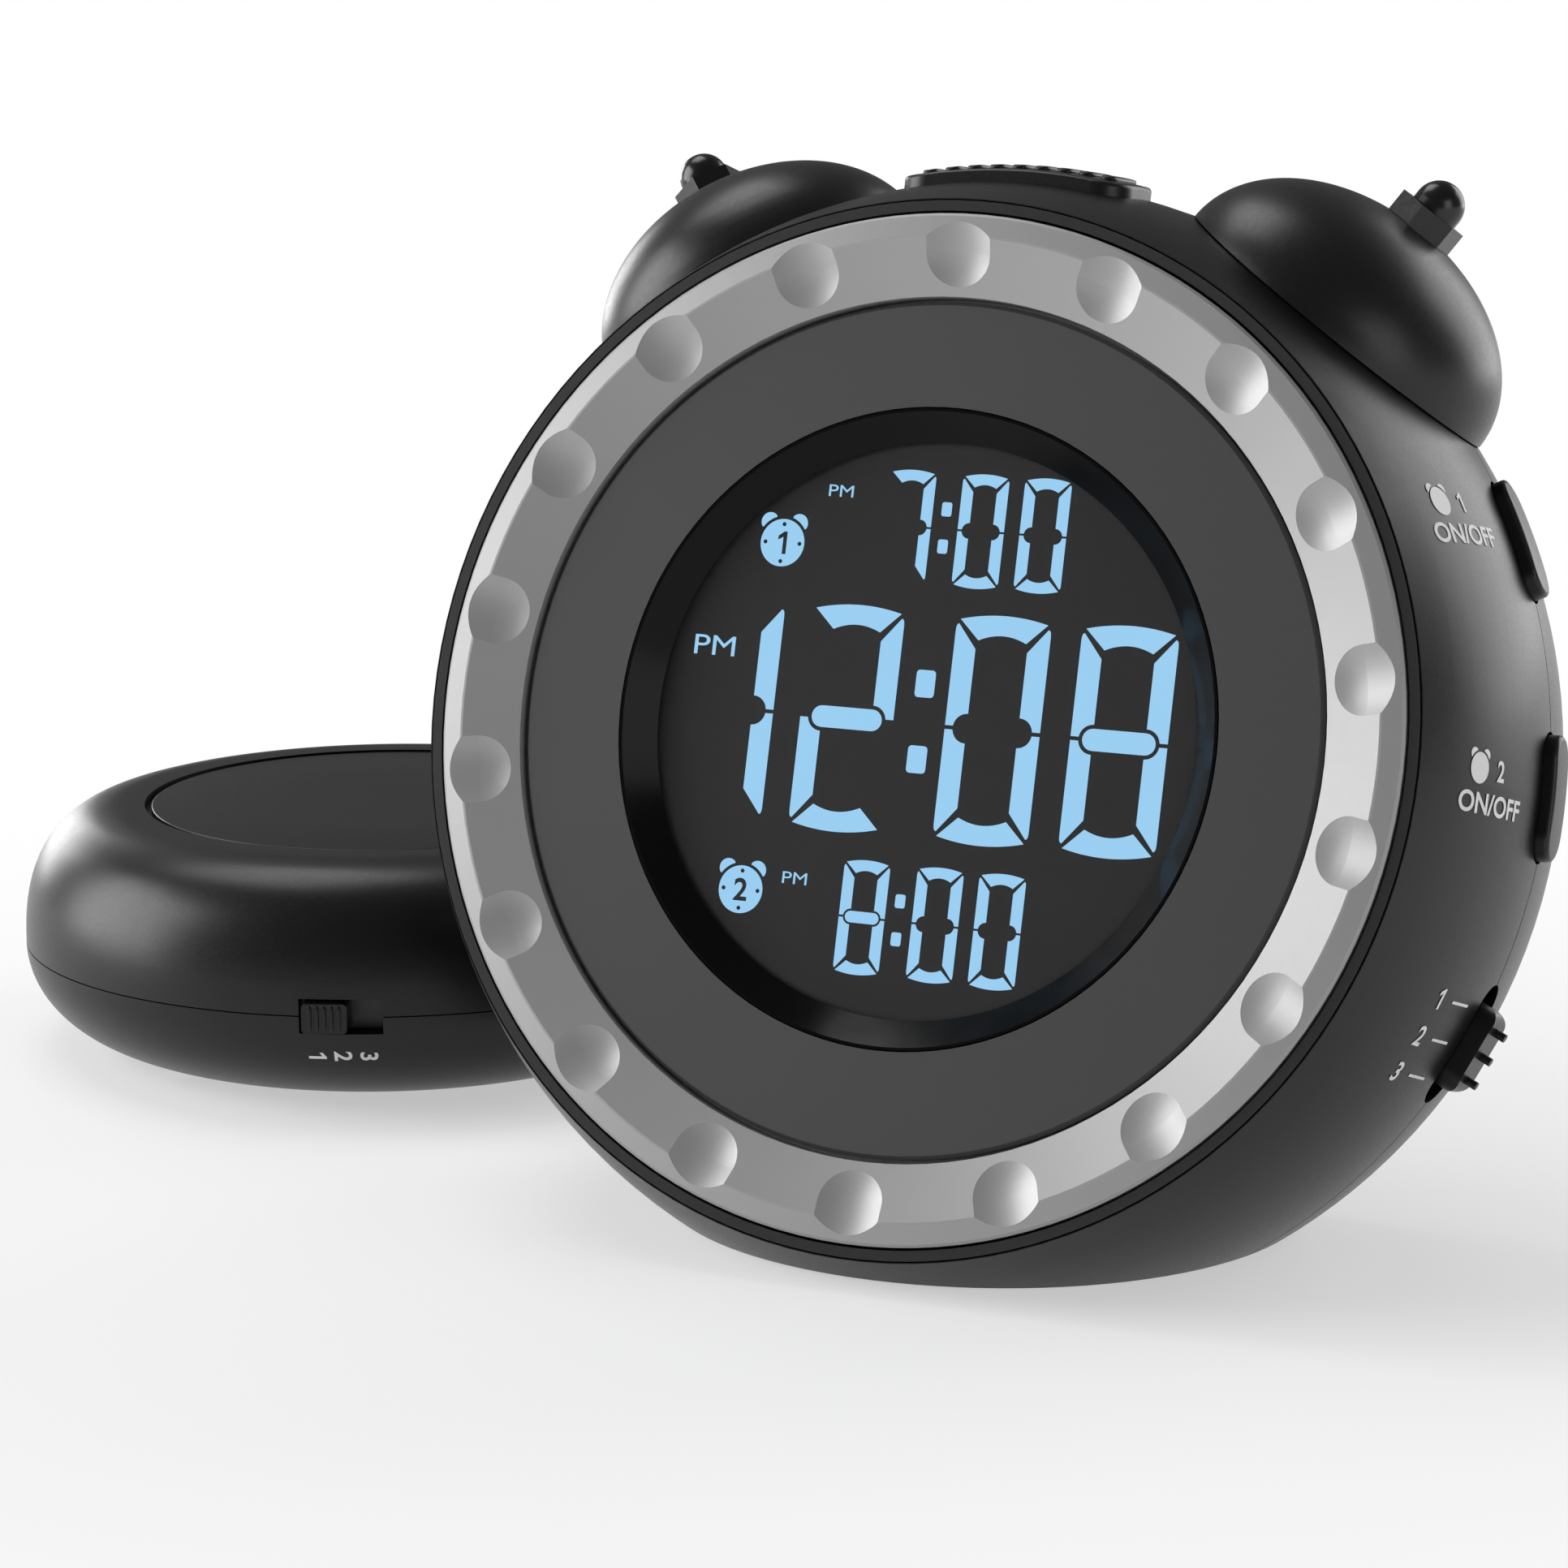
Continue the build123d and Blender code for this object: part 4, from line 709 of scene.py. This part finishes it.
class CLOCK_OT_finish_frame(bpy.types.Operator):
    """Give every solid of the frame its own moulded, painted or plated finish"""

    bl_idname = "bell_clock.finish_frame"
    bl_label = "Finish the frame"

    def execute(self, context):
        colours = context.scene.finish_colours
        finishes = {slot: grained(*values) for slot, values in INNER_FINISHES.items()}
        case = spark_eroded_abs(colours)
        finishes.update({
            "case_black": case,
            "button_black": case,
            "label_black": case,
            "rim_black": polished_tool_abs(colours),
            "ring_silver": silver_lacquer(colours),
            "face_grey": face_plate_abs(colours),
            "recess_black": piano_black(colours),
            "panel_dark": display_polariser(colours),
            "window_smoke": clear_window(),
            "bell_black": satin_bell_lacquer(colours),
            "nut_black": black_nickel(colours),
        })
        slots = {entry["node"]: entry["material_slot"] for entry in frame["record"]["subparts"]}
        for name, node in frame["nodes"].items():
            node.data.materials.clear()
            node.data.materials.append(finishes[slots[name]])
        return {"FINISHED"}


class CLOCK_OT_lit_digits(bpy.types.Operator):
    """Lay the lit digits, colons and small clock marks on the display"""

    bl_idname = "bell_clock.lit_digits"
    bl_label = "Lit digits"

    def execute(self, context):
        sizes = context.scene.display_sizes
        outlines = row_outlines(MAIN_ROW, sizes.main_width, sizes.main_height, sizes.main_stroke,
                                sizes.gap_share)
        for row in ALARM_ROWS:
            outlines += row_outlines(row, sizes.small_width, sizes.small_height,
                                     sizes.small_stroke, sizes.gap_share)
        outlines += [rounded_box(*dot) for dot in COLON_DOTS]
        dark = []
        for across, up, number in DISPLAY_ALARMS:
            bright, signs = alarm_mark(across, up, sizes.mark_radius, number)
            outlines += bright
            dark += signs
        for height, across, up in AFTERNOON_MARKS:
            outlines += text_outlines("PM", height, across, up, widen=1.35, weight=0.0)
        lit = lit_segment(context.scene.finish_colours)
        lay_on_display("display_digits", outlines, sizes.digit_depth, lit)
        lay_on_display("display_mark_numbers", dark, sizes.digit_depth - sizes.number_lift,
                       bpy.data.materials[PANEL_FINISH])
        return {"FINISHED"}


class CLOCK_OT_side_prints(bpy.types.Operator):
    """Print the button numbers and the switch numbers on the case side"""

    bl_idname = "bell_clock.side_prints"
    bl_label = "Side prints"

    def execute(self, context):
        sizes = context.scene.side_print_sizes
        ink = grained(INK_FINISH, context.scene.finish_colours.print_white, 0.55, 0.2, 0.004, 0.02)
        lines = []
        for number, turn in SIDE_ALARMS:
            mark = alarm_mark(sizes.mark_depth, 0, sizes.mark_radius, number)[0]
            mark += text_outlines(number, sizes.words_height, sizes.number_depth)
            words = text_outlines("ON/OFF", sizes.words_height, sizes.words_depth, widen=1.15)
            lines += [(outline, turn) for outline in mark]
            lines += [(outline, turn + sizes.words_turn) for outline in words]
        pointer = rounded_box((sizes.line_start, -sizes.line_half),
                              (sizes.line_end, sizes.line_half), sizes.line_round)
        for number, turn in SIDE_LEVELS:
            level = text_outlines(number, sizes.level_height, sizes.level_depth)
            lines += [(outline, turn) for outline in level + [pointer]]
        points, faces, turns = joined_with_turns(lines)
        depth = points[:, 0]
        radius = barrel_radius(context.scene.case_sizes, depth) + sizes.lift
        turns = turns - points[:, 1] / radius
        place = drum_points(radius * np.sin(turns), radius * np.cos(turns), depth)
        new_piece("case_side_prints", place, faces, ink, "clock", False)
        return {"FINISHED"}


class CLOCK_OT_pad_grip(bpy.types.Operator):
    """Raise the row of grip bars on the snooze pad"""

    bl_idname = "bell_clock.pad_grip"
    bl_label = "Pad grip bars"

    def execute(self, context):
        sizes = context.scene.grip_sizes
        case = context.scene.case_sizes
        depth = sizes.pad_depth
        radius = barrel_radius(case, depth) + sizes.pad_rise
        ends = np.array([depth - sizes.bar_length / 2, depth + sizes.bar_length / 2])
        slope = float(np.diff(barrel_radius(case, ends))[0]) / sizes.bar_length
        half = (sizes.bar_width / 2, sizes.bar_length / 2, sizes.bar_height)
        bars = []
        for place in (np.arange(sizes.bar_count) - (sizes.bar_count - 1) / 2) * sizes.bar_pitch:
            turn = place / radius
            outward = DRUM_ACROSS * math.sin(turn) + DRUM_UP * math.cos(turn)
            along = DRUM_ACROSS * math.cos(turn) - DRUM_UP * math.sin(turn)
            rearward = (slope * outward - DRUM_OUT) / math.hypot(1, slope)
            raised = np.cross(along, rearward)
            centre = drum_points(radius * math.sin(turn), radius * math.cos(turn), depth)
            points, faces = pillow(half, BAR_SQUARENESS)
            bars.append((centre + MM * (points @ np.array([along, rearward, raised])), faces))
        points, faces = gathered(bars)
        new_piece("snooze_grip_bars", points, faces, bpy.data.materials[CASE_FINISH], "snooze")
        return {"FINISHED"}


class CLOCK_OT_knob_ribs(bpy.types.Operator):
    """Rib the shaker's slide knob"""

    bl_idname = "bell_clock.knob_ribs"
    bl_label = "Knob ribs"

    def execute(self, context):
        sizes = context.scene.grip_sizes
        face = self.knob_face()
        half = (sizes.rib_width / 2, sizes.rib_length / 2, sizes.rib_height)
        ribs = []
        for place in (np.arange(sizes.rib_count) - (sizes.rib_count - 1) / 2) * sizes.rib_pitch:
            centre = face + MM * place * SHAKER_ALONG
            points, faces = pillow(half, RIB_SQUARENESS)
            points = centre + MM * (points @ np.array([SHAKER_ALONG, UPRIGHT, SHAKER_OUT]))
            ribs.append((points, faces))
        points, faces = gathered(ribs)
        new_piece("shaker_knob_ribs", points, faces, bpy.data.materials[CASE_FINISH],
                  "level_knob")
        return {"FINISHED"}

    def knob_face(self):
        """Middle of the knob's outer face: the farthest of its points along the outward axis."""
        knob = frame["nodes"]["shaker_level_knob"]
        flat = np.empty(len(knob.data.vertices) * 3)
        knob.data.vertices.foreach_get("co", flat)
        points = flat.reshape(-1, 3)
        along = points @ SHAKER_ALONG
        level = points @ UPRIGHT
        return (SHAKER_OUT * (points @ SHAKER_OUT).max()
                + SHAKER_ALONG * (along.max() + along.min()) / 2
                + UPRIGHT * (level.max() + level.min()) / 2)


class CLOCK_OT_shaker_levels(bpy.types.Operator):
    """Print the three level numbers under the shaker's slide knob"""

    bl_idname = "bell_clock.shaker_levels"
    bl_label = "Shaker levels"

    def execute(self, context):
        # The numbers are turned a quarter and wrapped on an ellipse's arc in section.
        sizes = context.scene.shaker_sizes
        lines = []
        for place, number in enumerate("123"):
            lines += [(outline, sizes.first_turn + place * sizes.turn_step)
                      for outline in text_outlines(number, sizes.number_height, 0.0)]
        points, faces, turns = joined_with_turns(lines)
        level = sizes.number_level - points[:, 0]
        drop = (sizes.waist_height - level) / (sizes.waist_height - sizes.foot_gap)
        radius = sizes.radius - sizes.foot_run * (1 - np.sqrt(1 - drop**2))
        radius = radius + context.scene.side_print_sizes.lift
        turns = turns + points[:, 1] / radius
        place = SHAKER_MIDDLE + MM * np.column_stack([
            radius * np.sin(turns), -radius * np.cos(turns), level])
        new_piece("shaker_level_prints", place, faces, bpy.data.materials[INK_FINISH], "shaker",
                  False)
        return {"FINISHED"}


class CLOCK_OT_shaker_disc(bpy.types.Operator):
    """Seat the disc with its rounded edge and narrow groove in the shaker's top"""

    bl_idname = "bell_clock.shaker_disc"
    bl_label = "Shaker disc"

    def execute(self, context):
        sizes = context.scene.shaker_sizes
        bend = np.radians(np.linspace(0, 90, 7))
        inner = sizes.disc_radius - sizes.disc_round
        edge = sizes.disc_top - sizes.disc_round * (1 - np.sin(bend))
        radius = np.concatenate([
            [sizes.disc_radius], inner + sizes.disc_round * np.cos(bend), [inner / 2]])
        height = np.concatenate([[sizes.disc_foot], edge, [sizes.disc_top]])
        points, faces = lathe(radius, height)
        disc = new_piece("shaker_disc", SHAKER_MIDDLE + MM * points, faces,
                         bpy.data.materials[CASE_FINISH], "shaker")
        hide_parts("shaker_label_disc")
        return {"FINISHED"}


class CLOCK_OT_stage(bpy.types.Operator):
    """Set the white floor, the soft studio lamps and the camera"""

    bl_idname = "bell_clock.stage"
    bl_label = "Stage"

    def execute(self, context):
        scene = context.scene
        stage = scene.stage_sizes
        self.add_floor(scene, stage)
        self.add_world(scene, stage)
        self.add_lamps(scene)
        self.add_camera(scene, stage)
        scene.view_settings.view_transform = "Standard"
        return {"FINISHED"}

    def add_floor(self, scene, stage):
        """Round floor: a ring of points on one circle, as one face."""
        corners = 64
        turn = np.linspace(0, 2 * math.pi, corners + 1)[:-1]
        points = np.column_stack([np.cos(turn), np.sin(turn), np.zeros(corners)])
        mesh = bpy.data.meshes.new("floor")
        mesh.from_pydata((points * stage.floor_radius).tolist(), [], [list(range(corners))])
        mesh.materials.append(self.paper(linear(scene.finish_colours.floor_white), stage))
        floor = bpy.data.objects.new("floor", mesh)
        scene.collection.objects.link(floor)

    def paper(self, white, stage):
        """Floor paper, white by its own colour near the clock and plain white in view beyond."""
        material = bpy.data.materials.new("White paper floor")
        material.use_nodes = True
        tree = material.node_tree
        tree.nodes.clear()
        grain = object_noise(tree, 40)
        tone = add_node(tree, "ShaderNodeMix", {"data_type": "RGBA"}, {
            "Factor": grain.outputs["Fac"], "A": shaded(white, 0.995), "B": shaded(white, 1)})
        paper = add_node(tree, "ShaderNodeBsdfDiffuse", inputs={"Color": tone.outputs["Result"]})
        glow = add_node(tree, "ShaderNodeEmission", inputs={
            "Color": (1, 1, 1, 1), "Strength": 1.0})
        place = add_node(tree, "ShaderNodeTexCoord")
        centred = add_node(tree, "ShaderNodeMapping", {"vector_type": "POINT"}, {
            "Vector": place.outputs["Object"], "Location": tuple(stage.white_shift)})
        away = add_node(tree, "ShaderNodeVectorMath", {"operation": "LENGTH"}, {
            0: centred.outputs["Vector"]})
        far = add_node(tree, "ShaderNodeMapRange", {"interpolation_type": "SMOOTHSTEP"}, {
            "Value": away.outputs["Value"], "From Min": stage.white_start,
            "From Max": stage.white_end, "To Min": stage.white_least})
        ray = add_node(tree, "ShaderNodeLightPath")
        seen = add_node(tree, "ShaderNodeMath", {"operation": "MAXIMUM"}, {
            0: ray.outputs["Is Camera Ray"], 1: ray.outputs["Is Glossy Ray"]})
        share = add_node(tree, "ShaderNodeMath", {"operation": "MULTIPLY"}, {
            0: far.outputs["Result"], 1: seen.outputs["Value"]})
        mixed = add_node(tree, "ShaderNodeMixShader", inputs={
            "Fac": share.outputs["Value"], 1: paper.outputs["BSDF"], 2: glow.outputs["Emission"]})
        add_node(tree, "ShaderNodeOutputMaterial", inputs={"Surface": mixed.outputs["Shader"]})
        return material

    def add_world(self, scene, stage):
        """White surroundings to the camera and through clear pieces, and low light otherwise."""
        world = scene.world or bpy.data.worlds.new("studio")
        scene.world = world
        world.use_nodes = True
        tree = world.node_tree
        tree.nodes.clear()
        ray = add_node(tree, "ShaderNodeLightPath")
        seen = add_node(tree, "ShaderNodeMath", {"operation": "MAXIMUM"}, {
            0: ray.outputs["Is Camera Ray"], 1: ray.outputs["Is Transmission Ray"]})
        strength = add_node(tree, "ShaderNodeMapRange", inputs={
            "Value": seen.outputs["Value"], "To Min": stage.sky_light, "To Max": 1.0})
        sky = add_node(tree, "ShaderNodeBackground", inputs={
            "Color": (1, 1, 1, 1), "Strength": strength.outputs["Result"]})
        add_node(tree, "ShaderNodeOutputWorld", inputs={"Surface": sky.outputs["Background"]})

    def add_lamps(self, scene):
        """Soft boxes that face the ring: from the front left, both sides, behind and above."""
        target = Vector(DRUM_ORIGIN)
        for name, place, size, power in LAMPS:
            light = bpy.data.lights.new(name, "AREA")
            light.shape = "SQUARE"
            light.size = size
            light.energy = power
            lamp = bpy.data.objects.new(name, light)
            lamp.location = place
            lamp.rotation_euler = (target - Vector(place)).to_track_quat("-Z", "Y").to_euler()
            scene.collection.objects.link(lamp)

    def add_camera(self, scene, stage):
        """Camera at the photograph's place: axes from its looking and downward directions."""
        ahead = Vector(stage.camera_ahead).normalized()
        down = Vector(stage.camera_down)
        down = (down - ahead * down.dot(ahead)).normalized()
        right = down.cross(ahead)
        camera = bpy.data.cameras.new("camera")
        camera.lens = stage.lens
        camera.sensor_width = 36
        camera.clip_start = 0.01
        camera.clip_end = 50
        eye = bpy.data.objects.new("camera", camera)
        turn = Matrix((right, -down, -ahead)).transposed()
        place = Vector(DRUM_ORIGIN) + Vector(stage.camera_place) * MM
        eye.matrix_world = Matrix.Translation(place) @ turn.to_4x4()
        scene.collection.objects.link(eye)
        scene.camera = eye


class CLOCK_PT_panel(bpy.types.Panel):
    """Sizes, colours and steps of the bell clock"""

    bl_idname = "CLOCK_PT_panel"
    bl_label = "Bell Clock"
    bl_space_type = "VIEW_3D"
    bl_region_type = "UI"
    bl_category = "Bell Clock"

    def draw(self, context):
        for step in STEPS:
            self.layout.operator(step.bl_idname)
        for name in GROUPS:
            group = getattr(context.scene, name)
            for key in group.bl_rna.properties.keys():
                if key not in ("name", "rna_type"):
                    self.layout.prop(group, key)


STEPS = (
    CLOCK_OT_finish_frame,
    CLOCK_OT_lit_digits,
    CLOCK_OT_side_prints,
    CLOCK_OT_pad_grip,
    CLOCK_OT_knob_ribs,
    CLOCK_OT_shaker_levels,
    CLOCK_OT_shaker_disc,
    CLOCK_OT_stage,
)
GROUPS = {
    "case_sizes": ClockCaseSizes,
    "display_sizes": DisplaySizes,
    "side_print_sizes": SidePrintSizes,
    "grip_sizes": GripSizes,
    "shaker_sizes": ShakerSizes,
    "finish_colours": FinishColours,
    "stage_sizes": StageSizes,
}


def register():
    """Register every class and attach the property groups to the scene."""
    for group in GROUPS.values():
        bpy.utils.register_class(group)
    for step in STEPS:
        bpy.utils.register_class(step)
    bpy.utils.register_class(CLOCK_PT_panel)
    for name, group in GROUPS.items():
        setattr(bpy.types.Scene, name, PointerProperty(type=group))


def unregister():
    """Undo register."""
    for name in GROUPS:
        delattr(bpy.types.Scene, name)
    bpy.utils.unregister_class(CLOCK_PT_panel)
    for step in reversed(STEPS):
        bpy.utils.unregister_class(step)
    for group in GROUPS.values():
        bpy.utils.unregister_class(group)


def main():
    """Run every step in order."""
    register()
    for step in STEPS:
        category, name = step.bl_idname.split(".")
        getattr(getattr(bpy.ops, category), name)()


if __name__ == "__main__":
    main()
